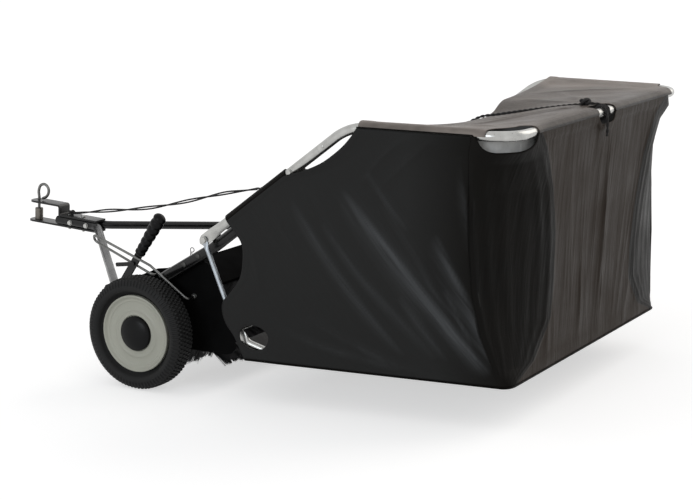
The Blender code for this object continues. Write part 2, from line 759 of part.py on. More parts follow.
def pivot_bolt(name, side):
    """Shoulder bolt: its sleeve stands off the ear over the arm tube, and the hopper swings on its shank."""
    inner, outer = PLATE_X - PLATE_T - GAP, PLATE_X + GAP
    sleeve = SIDE_TUBE_X - SIDE_FLAT_T / 2 - GAP
    head = STRUT_X + STRUT_FLAT_T / 2 + GAP
    r = PIVOT_BOLT_R
    profile = [
        (inner - 0.010, 0), (inner - 0.010, r), (inner - 0.007, r), (inner - 0.007, SLEEVE_R),
        (inner, SLEEVE_R),
        (inner, r), (outer, r), (outer, SLEEVE_R), (sleeve, SLEEVE_R), (sleeve, r), (head, r),
        (head, 0.0085),
        (head + 0.003, 0.0080), (head + 0.006, 0.0050), (head + 0.0065, 0),
    ]
    turned(name, profile, PIVOT, zinc, machine, 6, side)


def tongue_bolt(name, side):
    """Bolt of the tongue. On the left a shoulder carries the height lever outside the plate."""
    inner = PLATE_X - PLATE_T - 2 * GAP - 2 * HITCH_TUBE_WALL - SLIT
    r, outer = TONGUE_BOLT_R, PLATE_X + GAP
    profile = [
        (inner - 0.009, 0), (inner - 0.009, r), (inner - 0.007, r), (inner - 0.007, 0.008), (inner, 0.008)
    ]
    profile += [(inner, r), (outer, r)]
    head = outer
    if side > 0:
        head = LEVER_X + LEVER_T / 2 + GAP
        shoulder = LEVER_X - LEVER_T / 2 - GAP
        profile += [(outer, 0.008), (shoulder, 0.008), (shoulder, r), (head, r)]
    profile += [(head, 0.008), (head + 0.004, 0.0075), (head + 0.0055, 0.0045), (head + 0.0058, 0)]
    turned(name, profile, (TONGUE_Y, TONGUE_Z), zinc, machine, 6, side)


def wire_guide():
    """Bent rod on the left plate: both ends pass inwards through the plate and carry nuts."""
    inner = PLATE_X - PLATE_T - GAP
    end = inner - GUIDE_NUT_T - BOLT_END
    corners = [
        (end, *GUIDE_BOLT_PLACE), (UPPER_LEG_X, *GUIDE_BOLT_PLACE), (UPPER_LEG_X, 0.003, 0.325),
        (UPPER_LEG_X, -0.183, 0.390), (LOWER_LEG_X, -0.190, 0.3705), (LOWER_LEG_X, *GUIDE_LOW_PLACE),
        (end, *GUIDE_LOW_PLACE),
    ]
    path = rounded_path(corners, [0.010, 0.040, 0.0095, 0.0095, 0.008], [2, 1, 3, 3, 2])
    guide = rod_mesh("wire_guide", path, GUIDE_R, zinc, machine, 1)
    for i, place in enumerate((GUIDE_BOLT_PLACE, GUIDE_LOW_PLACE)):
        start = (inner - GUIDE_NUT_T, *place)
        nut = round_bar(f"guide nut {i}", start, (inner, *place), GUIDE_NUT_R, 6, machine)
        boolean(guide, nut, "UNION")


# Wheels

def wheel_disc(name, side, parent):
    """Moulded disc: hub, dished web, outer rim under the tyre and a wider drum for the ring gear."""
    step = GEAR_OUTER_X + GAP
    face = WHEEL_OUTER_X - 0.013
    hub_in, hub_out = TYRE_INNER_X + 0.0005, face + 0.0005
    rim_in, bore = DISC_R - 0.004, (AXLE_R + GAP) / math.cos(math.pi / WHEEL_STEPS)
    profile = [
        (hub_in, bore), (hub_in, HUB_R), (face - 0.008 - WEB_T, HUB_R), (face - 0.008 - WEB_T, rim_in),
        (step, rim_in), (step, DRUM_INNER_R),
        (TYRE_INNER_X + 0.002, DRUM_INNER_R), (TYRE_INNER_X + 0.002, DRUM_OUTER_R),
        (step + DRUM_WALL, DRUM_OUTER_R),
        (step + DRUM_WALL, DISC_R), (face + 0.002, DISC_R - 0.001), (face + 0.0015, rim_in),
        (face - 0.006, rim_in - 0.006), (face - 0.004, HUB_CAP_R + 0.003), (face - 0.007, HUB_CAP_R + 0.001),
        (face - 0.007, HUB_R), (hub_out, HUB_R), (hub_out, bore),
    ]
    turned(name, profile, (0, AXLE_Z), off_white, parent, WHEEL_STEPS, side)


def ring_gear(name, side, parent):
    teeth = turn_points(ring_outline(), math.pi / RING_TEETH, (0, AXLE_Z))
    rim = circle((0, AXLE_Z), RING_OUTER_R, WHEEL_STEPS, math.pi / 2)
    middle = side * (GEAR_X + GEAR_WIDTH / 2)
    flat_piece(name, rim, [teeth], GEAR_WIDTH, black_plastic, parent, at=(middle, 0, 0))


def hub_cap(name, side, parent):
    """Domed cap, snapped into the disc's recess over the axle's end."""
    seat = WHEEL_OUTER_X - 0.013 - 0.007 + GAP
    lip = seat + 0.005
    angles = np.radians((5, 35, 65))
    inside = [
        (lip - 0.003 + (HUB_CAP_RISE - 0.001) * math.sin(a), (HUB_CAP_R - 0.003) * math.cos(a))
        for a in angles
    ]
    outside = [(lip + HUB_CAP_RISE * math.sin(a), HUB_CAP_R * math.cos(a)) for a in angles]
    profile = [(seat, HUB_CAP_R - 0.003), *inside, (lip - 0.004 + HUB_CAP_RISE, 0)]
    profile += [(lip + HUB_CAP_RISE, 0), *outside[::-1], (seat, HUB_CAP_R)]
    turned(name, profile, (0, AXLE_Z), black_plastic, parent, 12, side)


def tyre(name, side, parent):
    """Solid tyre. Two rows of tread blocks, half a block out of step, stand on the crown."""
    steps = 3 * TREAD_BLOCKS
    step_x = GEAR_OUTER_X + GAP + DRUM_WALL + GAP - TYRE_INNER_X
    seat_in, seat_out = [(r + GAP) / math.cos(math.pi / steps) for r in (DRUM_OUTER_R, DISC_R)]
    w = TYRE_WIDTH
    section = [
        (0.0025, seat_in, None), (0.0, 0.88 * TYRE_R, None), (0.011, TYRE_R, 0),
        (0.49 * w, TYRE_R, 0), (0.51 * w, TYRE_R, 1), (w - 0.011, TYRE_R, 1),
        (w - 0.0035, 0.955 * TYRE_R, 1),
        (w, 0.86 * TYRE_R, None), (w - 0.010, seat_out, None),
        (step_x, seat_out, None), (step_x, seat_in, None),
    ]
    points, faces = [], []
    for k in range(steps):
        angle = -math.pi / 2 + 2 * math.pi * k / steps
        for x, r, row in section:
            low = row is not None and (k + row) % 3 == 2
            r = r - TREAD_DEPTH if low else r
            points.append((side * (TYRE_INNER_X + x), r * math.cos(angle), AXLE_Z + r * math.sin(angle)))
    n = len(section)
    for k in range(steps):
        for j in range(n):
            a, b = k * n + j, k * n + (j + 1) % n
            c, d = ((k + 1) % steps) * n + (j + 1) % n, ((k + 1) % steps) * n + j
            faces.append((a, b, c, d))
    mesh_object(name, points, faces, rubber, parent)


# Brush

def brush_shaft(parent):
    """Shaft with a square core, whose four slots hold the bristle strips."""
    h, w, d = CORE_HALF, SLOT_WIDTH / 2, SLOT_DEPTH
    quarter = np.array([(h, -h), (h, -w), (h - d, -w), (h - d, w), (h, w)])
    section = np.vstack([turn_points(quarter, k * math.pi / 2, (0, 0)) for k in range(4)])
    section = turn_points(section, math.radians(BRUSH_REST_ANGLE), (BRUSH_Y, BRUSH_Z))
    shaft = flat_piece("brush_shaft", section, [], 2 * CORE_HALF_LENGTH, zinc, parent)
    ends = [(x, BRUSH_Y, BRUSH_Z) for x in (-GEAR_OUTER_X, GEAR_OUTER_X)]
    boolean(shaft, round_bar("shaft bar", *ends, SHAFT_R, 12, parent), "UNION")


def bristle_strip(name, number, parent):
    """Backing that slides into a slot of the core, with a double row of three-sided strands on it."""
    half_length = CORE_HALF_LENGTH - 0.002
    root = CORE_HALF - SLOT_DEPTH + GAP
    turn = Matrix.Translation((0, BRUSH_Y, BRUSH_Z)) @ Matrix.Rotation(
        math.radians(BRUSH_REST_ANGLE) + number * 2 * math.pi / BRISTLE_ROWS, 4, "X"
    )
    half = SLOT_WIDTH / 2 - GAP
    strip = block(name, (-half_length, root, -half), (half_length, CORE_HALF, half), parent)
    strip.data.transform(turn)
    strip.data.materials.append(bristle_black)
    points, faces = [], []
    for k in range(STRANDS_PER_ROW):
        x = (k + 0.5) / STRANDS_PER_ROW * 2 * half_length - half_length
        offset = 0.0028 * (1 if k % 2 else -1)
        lean = 0.004 * math.sin(1.7 * k + number), 0.006 * math.sin(2.3 * k + 2 * number) + 3 * offset
        first = len(points)
        for reach, shift_x, shift_z in ((CORE_HALF - 0.003, 0, 0), (BRISTLE_R - 0.001, *lean)):
            for corner in range(3):
                a = 2 * math.pi * corner / 3
                points.append(
                    (x + shift_x + STRAND_R * math.cos(a), reach, offset + shift_z + STRAND_R * math.sin(a))
                )
        faces += [(first, first + 2, first + 1), (first + 3, first + 4, first + 5)]
        faces += [(first + c, first + (c + 1) % 3, first + 3 + (c + 1) % 3, first + 3 + c) for c in range(3)]
    strands = mesh_object(name + " strands", points, faces, None, parent)
    strands.data.transform(turn)
    boolean(strip, strands, "UNION")


def pinion(name, side, parent):
    outline = turn_points(pinion_outline(), 0.0, (BRUSH_Y, BRUSH_Z))
    bore = hole((BRUSH_Y, BRUSH_Z), SHAFT_R + GAP, 12)
    width = GEAR_WIDTH - 0.003
    flat_piece(name, outline, [bore], width, zinc, parent, at=(side * (GEAR_X + GEAR_WIDTH / 2), 0, 0))


# Tongue

def hitch_tube(name, side, parent):
    """Two straight runs: side by side in the hitch, then spread out to the side plate's front ear."""
    pad_x = PLATE_X - PLATE_T - GAP - HITCH_TUBE_WALL - SLIT / 2
    pad = math.pi * HITCH_TUBE_R / 2
    corners = [
        hitch_place(HITCH_TUBE_APART, HITCH_TUBE_FRONT, 0), hitch_place(HITCH_TUBE_APART, 0.010, 0),
        (pad_x, TONGUE_Y - 1.5 * pad, TONGUE_Z), (pad_x, TONGUE_Y + pad, TONGUE_Z),
    ]
    path = sided(rounded_path(corners, [0.060, 0.030], [2, 2]), side)
    piece = tube(name, path, HITCH_TUBE_R, HITCH_TUBE_WALL, black_steel, parent, ("end",), sides=8)
    x_from, x_to = side * (pad_x - 0.02), side * (pad_x + 0.02)
    drill(piece, (TONGUE_Y, TONGUE_Z), TONGUE_BOLT_R + GAP, x_from, x_to)
    for place in SIDE_BOLT_PLACES:
        drill(piece, hitch_place(0, place, 0)[1:], HITCH_BOLT_R + GAP, side * 0.001, side * 0.040)
    if side > 0:
        drill(piece, lever_pin_place(), LEVER_PIN_R + GAP, pad_x - 0.035, pad_x + 0.02)


def lever_pin_place():
    return np.array([TONGUE_Y - LEVER_PIN_AHEAD, TONGUE_Z + 0.003])


def strap(name, outline, holes, low, high, look, parent):
    """A flat strap of the hitch head between two heights, tilted with the head."""
    piece = flat_piece(name, outline, holes, high - low, look, None, "Z", (0, 0, (low + high) / 2))
    piece.data.transform(HITCH_FRAME)
    hang(piece, parent)
    return piece


def strap_holes(places, pin=True):
    holes = [hole((0, place), HITCH_BOLT_R + GAP) for place in places]
    return holes + ([hole((0, HITCH_PIN_PLACE), HITCH_PIN_R + RUNNING_CLEARANCE, 8)] if pin else [])


def hitch_plate_lower(parent):
    half = STRAP_WIDTH / 2
    corners = [(-half, LOWER_STRAP_FRONT, 0.018), (half, LOWER_STRAP_FRONT, 0.018), (half, 0.012, 0.006)]
    corners += [(-half, 0.012, 0.006)]
    outline, holes = rounded_outline(corners), strap_holes(TOP_BOLT_PLACES)
    strap("hitch_plate_lower", outline, holes, STRAP_LOW_Z, STRAP_LOW_Z + STRAP_T, black_steel, parent)


def hitch_plate_upper(parent):
    """Cranked strap: low on the tubes at the rear, up through a riser, and level over the clevis gap."""
    low, top, t = HITCH_TUBE_R + GAP, UPPER_STRAP_TOP, STRAP_T
    side_view = rounded_outline([
        (UPPER_STRAP_FRONT, top - t, 0), (STRAP_STEP - t, top - t, 0.004), (STRAP_STEP - t, low, 0.004),
        (0.008, low, 0),
        (0.008, low + t, 0), (STRAP_STEP, low + t, 0.003), (STRAP_STEP, top, 0.008),
        (UPPER_STRAP_FRONT, top, 0),
    ], 3)
    plate = flat_piece("hitch_plate_upper", side_view, [], STRAP_WIDTH, black_steel, None)
    plate.data.transform(HITCH_FRAME)
    hang(plate, parent)
    half = STRAP_WIDTH / 2
    corners = [
        (-half, UPPER_STRAP_FRONT + GAP, 0.018), (half, UPPER_STRAP_FRONT + GAP, 0.018), (half, 0.050, 0)
    ]
    corners += [(-half, 0.050, 0)]
    keep = strap(
        "strap outline", rounded_outline(corners), strap_holes(TOP_BOLT_PLACES), -0.05, 0.10, None, parent
    )
    boolean(plate, keep, "INTERSECT")


def upright(name, profile, along, look, parent, steps=6):
    """A turned piece that stands square on the hitch head: its profile is (height, radius)."""
    stand = Matrix.Translation((0, along, 0)) @ Matrix.Rotation(-math.pi / 2, 4, "Y")
    return turned(name, profile, None, look, parent, steps, 1, HITCH_FRAME @ stand)


def hitch_top_bolt(name, along, parent):
    head = HITCH_TUBE_R + 2 * GAP + STRAP_T
    nut = STRAP_LOW_Z - GAP
    r, big, t = HITCH_BOLT_R, HITCH_BOLT_HEAD_R, HITCH_BOLT_HEAD_T
    profile = [
        (nut - t - BOLT_END, 0), (nut - t - BOLT_END, r), (nut - t, r), (nut - t, big), (nut, big), (nut, r)
    ]
    profile += [(head, r), (head, big), (head + t, big - 0.001), (head + t, 0)]
    upright(name, profile, along, zinc, parent)


def hitch_side_bolt(name, along, parent):
    seat = HITCH_TUBE_APART + HITCH_TUBE_R + GAP
    r, big, t = HITCH_BOLT_R, HITCH_BOLT_HEAD_R, HITCH_BOLT_HEAD_T
    profile = [
        (-seat - t - BOLT_END, 0), (-seat - t - BOLT_END, r), (-seat - t, r), (-seat - t, big), (-seat, big)
    ]
    profile += [(-seat, r), (seat, r), (seat, big), (seat + t, big - 0.001), (seat + t, 0)]
    turned(name, profile, hitch_place(0, along, 0)[1:], zinc, parent, 6)


def hitch_spacer(parent):
    low, bore = STRAP_LOW_Z + STRAP_T + GAP, HITCH_PIN_R + RUNNING_CLEARANCE
    high = low + HITCH_SPACER_HEIGHT
    profile = [
        (low, bore), (low, HITCH_SPACER_R), (high - 0.001, HITCH_SPACER_R), (high, HITCH_SPACER_R - 0.001)
    ]
    upright("hitch_spacer", [*profile, (high, bore)], HITCH_PIN_PLACE, brown_steel, parent, 12)


def hitch_pin(parent):
    """Pin bent from one rod: a straight shank and a teardrop loop that lies back on the upper strap."""
    y, rest = HITCH_PIN_PLACE, UPPER_STRAP_TOP + HITCH_PIN_R + GAP
    loop = [
        (y, rest + 0.004), (y - 0.002, rest + 0.023), (y + 0.005, rest + 0.041), (y + 0.021, rest + 0.047),
        (y + 0.035, rest + 0.038), (y + 0.037, rest + 0.022), (y + 0.028, rest + 0.008), (y + 0.0115, rest),
    ]
    shank = [(y, STRAP_LOW_Z), (y, 0.0), (y, rest - 0.006)]
    path = np.vstack([shank, smooth_through(loop, 0.011)])
    places = [hitch_place(0, along, above) for along, above in path]
    rod("hitch_pin", places, HITCH_PIN_R, zinc, parent, 1)


def lever_frame():
    angle = math.radians(LEVER_ANGLE)
    return np.array([math.cos(angle), math.sin(angle)]), np.array([math.sin(angle), -math.cos(angle)])


def height_lever(parent):
    """Flat bar on the tongue bolt. A foot ahead of the bolt carries a pin that goes into the hitch tube."""
    up, right = lever_frame()
    foot, half = np.array([TONGUE_Y, TONGUE_Z]), LEVER_WIDTH / 2
    ahead = LEVER_PIN_AHEAD + 0.010
    corners = [
        (*(foot + (-ahead, -0.008)), 0.008), (*(foot + (0.006, -0.014)), 0.010),
        (*(foot + up * 0.022 + right * half), 0.010),
        (*(foot + up * LEVER_LENGTH + right * half), 0.004),
        (*(foot + up * LEVER_LENGTH - right * half), 0.004),
        (*(foot + up * 0.034 - right * half), 0.010), (*(foot + (-ahead, 0.014)), 0.008),
    ]
    holes = [hole(foot, TONGUE_BOLT_R + GAP), hole(foot + up * LATCH_ALONG, 0.003 + GAP)]
    lever = flat_piece(
        "height_lever", rounded_outline(corners, 4), holes, LEVER_T, black_steel, parent, at=(LEVER_X, 0, 0)
    )
    pin = lever_pin_place()
    start, end = (LEVER_X, *pin), (PLATE_X - 0.030, *pin)
    boolean(lever, round_bar("lever pin bar", start, end, LEVER_PIN_R, 6, parent), "UNION")


def lever_grip(parent):
    """Ribbed grip with a domed top and a slot that takes the bar."""
    up, _ = lever_frame()
    foot = np.array([TONGUE_Y, TONGUE_Z])
    ribs = []
    for k in range(GRIP_RIBS):
        start = 0.012 + k * (GRIP_LENGTH - 0.032) / GRIP_RIBS
        wide = GRIP_R - 0.0018 + 0.0018 * k / (GRIP_RIBS - 1)
        ribs += [(start, wide - 0.0012), (start + 0.004, wide)]
    top = [(GRIP_LENGTH - 0.014 * (1 - math.sin(a)), GRIP_R * math.cos(a)) for a in np.radians((0, 30, 60))]
    profile = [(0, 0), (0, GRIP_R - 0.004), (0.002, GRIP_R - 0.002), *ribs, *top, (GRIP_LENGTH, 0)]
    start = foot + up * GRIP_START
    heading = Vector((0, *map(float, up)))
    turn = Matrix.Translation((LEVER_X, *map(float, start))) @ heading.to_track_quat(
        "X", "Z"
    ).to_matrix().to_4x4()
    grip = turned("lever_grip", profile, None, black_plastic, parent, 8, 1, turn)
    depth = LEVER_LENGTH - GRIP_START + GAP
    low, high = (-0.01, -LEVER_WIDTH / 2 - GAP, -LEVER_T / 2 - GAP), (
        depth, LEVER_WIDTH / 2 + GAP, LEVER_T / 2 + GAP
    )
    slot = block("grip slot", low, high, parent)
    across = Matrix(((0, 0, -1, 0), (up[0], up[1], 0, 0), (up[1], -up[0], 0, 0), (0, 0, 0, 1)))
    slot.data.transform(Matrix.Translation((LEVER_X, *map(float, start))) @ across)
    boolean(grip, slot, "DIFFERENCE")


def lever_latch(parent):
    """Flat finger riveted to the lever, lying over the guide's lower leg."""
    up, _ = lever_frame()
    rivet = np.array([TONGUE_Y, TONGUE_Z]) + up * LATCH_ALONG
    half = LATCH_HEIGHT / 2
    corners = [
        (-LATCH_LENGTH + half, -half, 0.003), (half, -half, half), (half, half, half),
        (-LATCH_LENGTH + half, half, 0.003)
    ]
    outline = turn_points(rounded_outline(corners, 4), math.radians(8), rivet)
    x = LEVER_X + LEVER_T / 2 + GAP
    latch = flat_piece("lever_latch", outline, [], LATCH_T, black_steel, parent, at=(x + LATCH_T / 2, 0, 0))
    start, end = (LEVER_X - LEVER_T / 2, *rivet), (x + LATCH_T / 2, *rivet)
    boolean(latch, round_bar("latch rivet bar", start, end, 0.003, 6, parent), "UNION")


# Hopper frame

def hopper_point(along, above=0.0):
    return PIVOT + along * ALONG + above * ABOVE


def side_tube(name, side, parent):
    """Straight tube from the pivot to the joint, where a thinner spigot with a snap button goes into the frame."""
    pad = math.pi * SIDE_TUBE_R / 2
    start, end = hopper_point(-0.9 * pad), hopper_point(FRAME_JOINT_ALONG + SPIGOT_LENGTH)
    spigot_r = SIDE_TUBE_R - TUBE_WALL - GAP
    path = sided([(SIDE_TUBE_X, *start), (SIDE_TUBE_X, *end)], side)
    piece = tube(name, path, SIDE_TUBE_R, TUBE_WALL, zinc, parent, ("start",), (spigot_r, SPIGOT_LENGTH), 8)
    button = hopper_point(FRAME_JOINT_ALONG + BUTTON_ALONG)
    start, end = (side * (SIDE_TUBE_X + spigot_r - TUBE_WALL), *button), (
        side * (SIDE_TUBE_X + SIDE_TUBE_R + 0.001), *button
    )
    boolean(piece, round_bar(name + " button", start, end, BUTTON_R, 6, parent), "UNION")
    drill(piece, PIVOT, PIVOT_BOLT_R + GAP, side * (SIDE_TUBE_X - 0.01), side * (SIDE_TUBE_X + 0.01))
    x_from, x_to = side * (SIDE_TUBE_X - 0.02), side * (SIDE_TUBE_X + 0.02)
    drill(piece, hopper_point(REST_PIN_ALONG), REST_PIN_R + GAP, x_from, x_to)


def top_frame(parent):
    """One bent tube: up from the joint, back along the side, across the rear and down the other side."""
    joint = hopper_point(FRAME_JOINT_ALONG + GAP)
    bend = hopper_point((TOP_Z - PIVOT_Z) / ALONG[1])
    half = [(SIDE_TUBE_X, *joint), (SIDE_TUBE_X, *bend), (TOP_REAR_X, TOP_REAR_Y, TOP_Z)]
    corners = half + [(-x, y, z) for x, y, z in half[::-1]]
    radii = [TOP_FRONT_BEND_R, TOP_REAR_BEND_R, TOP_REAR_BEND_R, TOP_FRONT_BEND_R]
    path = rounded_path(corners, radii, [2, 4, 4, 2])
    piece = tube("top_frame", path, SIDE_TUBE_R, TUBE_WALL, zinc, parent, sides=8, thin=(0, -0.2, 1))
    button = hopper_point(FRAME_JOINT_ALONG + BUTTON_ALONG)
    for side in (1, -1):
        drill(piece, button, BUTTON_R + GAP, side * (SIDE_TUBE_X + 0.004), side * (SIDE_TUBE_X + 0.03))


def lower_corners():
    front = (SIDE_TUBE_X, LOWER_FRONT_Y, LOWER_FRONT_Z)
    return [
        front, (SIDE_TUBE_X, 0.322, 0.158), (0.560, 0.420, LOWER_Z), (LOWER_REAR_X, LOWER_REAR_Y, LOWER_Z)
    ]


def lower_frame(parent):
    """One bent tube round the bottom of the bag, with pressed front ends on the cross rod."""
    half = lower_corners()
    pad = math.pi * LOWER_R / 2
    start = np.array(half[0]) + 0.9 * pad * unit(np.array(half[0]) - np.array(half[1]))
    half[0] = tuple(start)
    corners = half + [(-x, y, z) for x, y, z in half[::-1]]
    path = rounded_path(corners, [0.050, 0.120, 0.060, 0.060, 0.120, 0.050], [1, 1, 3, 3, 1, 1])
    piece = tube_with_turn("lower_frame", path, LOWER_R, parent)
    for side in (1, -1):
        x_from, x_to = side * (SIDE_TUBE_X - 0.01), side * (SIDE_TUBE_X + 0.01)
        drill(piece, (LOWER_FRONT_Y, LOWER_FRONT_Z), CROSS_ROD_R + GAP, x_from, x_to)


def tube_with_turn(name, path, radius, parent):
    """Tube whose pressed ends are thin along X, though its rear run lies along X: there its rings turn."""
    half_width = math.pi * radius / 2
    marks = pad_marks(half_width, 2.0)
    length = np.linalg.norm(np.diff(path, axis=0), axis=1).sum()
    path = with_places(with_places(path, marks), length - marks)
    run = np.concatenate([[0], np.cumsum(np.linalg.norm(np.diff(path, axis=0), axis=1))])
    angles = np.arange(8) * 2 * math.pi / 8
    outer, inner = [], []
    for i, place in enumerate(path):
        heading = unit(path[min(i + 1, len(path) - 1)] - path[max(i - 1, 0)])
        wide_way = unit(np.array([0, 0, 1.0]) - heading * heading[2])
        thin_way = np.cross(heading, wide_way)
        near_end = min(run[i], run[-1] - run[i])
        flat, tip = flatness(near_end, half_width, 2.0), tip_width(near_end, half_width)
        for rings, r, pad_w, pad_t in (
            (outer, radius, half_width * tip, TUBE_WALL + SLIT / 2),
            (inner, radius - TUBE_WALL, half_width * tip - TUBE_WALL, SLIT / 2),
        ):
            wide = ((1 - flat) * r + flat * pad_w) * np.cos(angles)
            deep = (1 - flat) * r * np.sin(angles) + flat * pad_t * np.clip(2 * np.sin(angles), -1, 1)
            rings.append(place + np.outer(wide, wide_way) + np.outer(deep, thin_way))
    return lofted_tube(name, np.array(outer), np.array(inner), zinc, parent)


def strut(name, side, parent):
    """Thin tube from the pivot bolt to the cross rod, pressed flat at both ends."""
    top, foot = np.array([STRUT_X, *PIVOT]), np.array([STRUT_X, LOWER_FRONT_Y, LOWER_FRONT_Z])
    reach = 0.9 * math.pi * STRUT_R / 2 * unit(foot - top)
    path = sided([top - reach, foot + reach], side)
    piece = tube(name, path, STRUT_R, STRUT_WALL, zinc, parent, ("start", "end"), sides=6, pad=3.4)
    x_from, x_to = side * (STRUT_X - 0.01), side * (STRUT_X + 0.01)
    drill(piece, PIVOT, PIVOT_BOLT_R + GAP, x_from, x_to)
    drill(piece, (LOWER_FRONT_Y, LOWER_FRONT_Z), CROSS_ROD_R + GAP, x_from, x_to)


def cross_rod(parent):
    """Rod right across the bag's front edge, with a nut on each side of the tubes it holds."""
    outer, inner = STRUT_X + STRUT_FLAT_T / 2 + GAP, SIDE_TUBE_X - SIDE_FLAT_T / 2 - GAP
    r, big, t = CROSS_ROD_R, 0.0072, 0.005
    half = [
        (inner - t, r), (inner - t, big), (inner, big), (inner, r), (outer, r), (outer, big),
        (outer + t, big)
    ]
    half += [(outer + t, r), (outer + t + 0.002, r), (outer + t + 0.002, 0)]
    profile = [(-x, radius) for x, radius in half[::-1]] + half
    turned("cross_rod", profile, (LOWER_FRONT_Y, LOWER_FRONT_Z), zinc, parent, 6)


def rest_pin(name, side, parent):
    """Bolt through the side tube, with a sleeve that lies on the arm tube."""
    head = SIDE_TUBE_X + SIDE_TUBE_R + GAP
    sleeve = SIDE_TUBE_X - SIDE_TUBE_R - GAP
    inner = ARM_X - ARM_R
    r = REST_PIN_R
    profile = [
        (inner - 0.006, 0), (inner - 0.006, r), (inner - 0.002, r), (inner - 0.002, SLEEVE_R),
        (sleeve, SLEEVE_R)
    ]
    profile += [
        (sleeve, r), (head, r), (head, 0.0072), (head + 0.004, 0.0066), (head + 0.0055, 0.004),
        (head + 0.0055, 0)
    ]
    turned(name, profile, hopper_point(REST_PIN_ALONG), zinc, parent, 6, side)


# Bag

def inside(point, loop):
    """Even-odd test of a point against a closed loop."""
    x, y = point
    found = False
    for (x1, y1), (x2, y2) in zip(loop, np.roll(loop, -1, axis=0)):
        if (y1 > y) != (y2 > y) and x < x1 + (y - y1) * (x2 - x1) / (y2 - y1):
            found = not found
    return found


def cut_even(loop, cell):
    """The closed loop with its long edges cut into equal parts."""
    points = []
    for a, b in zip(loop, np.roll(loop, -1, axis=0)):
        parts = max(1, math.ceil(np.linalg.norm(b - a) / cell))
        points += [a + (b - a) * k / parts for k in range(parts)]
    return np.array(points)


def cloth_panel(name, outline, holes, lattice, surface, inward, parent, cell=0.30):
    """A sheet: a flat outline with holes, cut into triangles, laid on a surface and given its thickness."""
    loops = [cut_even(np.array(loop, float), cell) for loop in [outline, *holes]]
    points, edges = [], []
    for loop in loops:
        first = len(points)
        points += [tuple(point) for point in loop]
        edges += [(first + k, first + (k + 1) % len(loop)) for k in range(len(loop))]
    rim = np.array(points)
    for u in lattice[0]:
        for v in lattice[1]:
            clear = np.linalg.norm(rim - (u, v), axis=1).min() > 0.02
            if clear and sum(inside((u, v), loop) for loop in loops) == 1:
                points.append((u, v))
    flat, _, triangles, _, _, _ = delaunay_2d_cdt([Vector(point) for point in points], edges, [], 0, 1e-5)
    flat = np.array([tuple(point) for point in flat])
    kept = [t for t in triangles if sum(inside(flat[list(t)].mean(axis=0), loop) for loop in loops) == 1]
    outer = np.array([surface(*point) for point in flat])
    inner = outer + CLOTH_T * np.array(inward, float)
    count = {}
    for t in kept:
        for a, b in zip(t, (*t[1:], t[0])):
            count[(a, b)] = count.get((b, a), 0)
            if (b, a) in count:
                count[(b, a)] = 1
                count[(a, b)] = 1
    n = len(outer)
    faces = [tuple(t) for t in kept] + [tuple(n + k for k in t[::-1]) for t in kept]
    faces += [(b, a, n + a, n + b) for (a, b), paired in count.items() if not paired]
    return mesh_object(name, np.concatenate([outer, inner]), faces, None, parent)


def side_skin_x(y, z):
    """Outer face of the bag's side: straight from the lower tube to the upper one, with a slight bulge."""
    lower = np.array(lower_corners())
    low_x = np.interp(y, lower[:, 1], lower[:, 0]) + LOWER_R + 0.004 + CLOTH_T
    bend_y = hopper_point((TOP_Z - PIVOT_Z) / ALONG[1])[0]
    top_x = np.interp(y, (bend_y, TOP_REAR_Y), (SIDE_TUBE_X, TOP_REAR_X)) + SIDE_TUBE_R + 0.001 + CLOTH_T
    share = (z - LOWER_Z) / (TOP_Z - LOWER_Z)
    swell = max(math.sin(math.pi * np.clip(share, 0, 1)), 0) * math.sin(
        math.pi * np.clip((y - 0.26) / 0.79, 0, 1)
    )
    return float(low_x + (top_x - low_x) * share + SIDE_BULGE * swell)


def top_skin_z(x, y):
    """Outer face of the top panel: level over the tubes, sagging towards the middle of its front edge."""
    rear = TOP_REAR_Y - SIDE_TUBE_R - 0.004
    across = max(0.0, 1 - (x / TOP_FLAT_X) ** 2)
    ahead = np.clip((rear - y) / (rear - TOP_FRONT_MIDDLE_Y), 0, 1)
    return float(TOP_SKIN_Z - TOP_SAG * across * ahead**1.2)


def bottom_skin_z(y):
    """Outer face of the bottom panel: it follows the lower tube up to the cross rod."""
    places = [(0.268, 0.176), (0.289, 0.160), (0.322, 0.1365), (0.420, LOW_SKIN_Z + CLOTH_T)]
    places += [(1.1, LOW_SKIN_Z + CLOTH_T)]
    ys, zs = zip(*places)
    return float(np.interp(y, ys, zs)) - CLOTH_T


def side_outline():
    """Side panel seen from the left: sleeve on the side tube, free edge, top, rear, bottom, front edge."""
    half_t = CLOTH_T / 2
    over = SIDE_TUBE_R + GAP + half_t
    low_z, top_z = LOW_SKIN_Z + half_t, TOP_SKIN_Z - half_t
    sleeve_front, sleeve_end = hopper_point(SLEEVE_START_ALONG, over), hopper_point(SLEEVE_END_ALONG, over)
    free_edge = smooth_through([
        (TOP_FRONT_SIDE_Y, top_z), (0.638, 0.720), (0.609, 0.688), (0.560, 0.650), (0.515, 0.625),
        (0.478, 0.608),
        hopper_point(SLEEVE_END_ALONG + 0.004, -SIDE_TUBE_R - 0.004),
    ], 0.07)
    front_edge = smooth_through([
        sleeve_front, (0.280, 0.463), (0.298, 0.449), (0.319, 0.420), (0.321, 0.376), (0.311, 0.330),
        (0.281, 0.284),
        (0.264, 0.266), (0.270, 0.240), (0.282, 0.209), (0.294, 0.176), (0.306, 0.148), (0.321, low_z),
    ], 0.055)
    rear = [(rear_skin_y(low_z) - half_t, low_z), (rear_skin_y(top_z) - half_t, top_z)]
    return np.vstack([front_edge, rear, free_edge, [sleeve_end]])


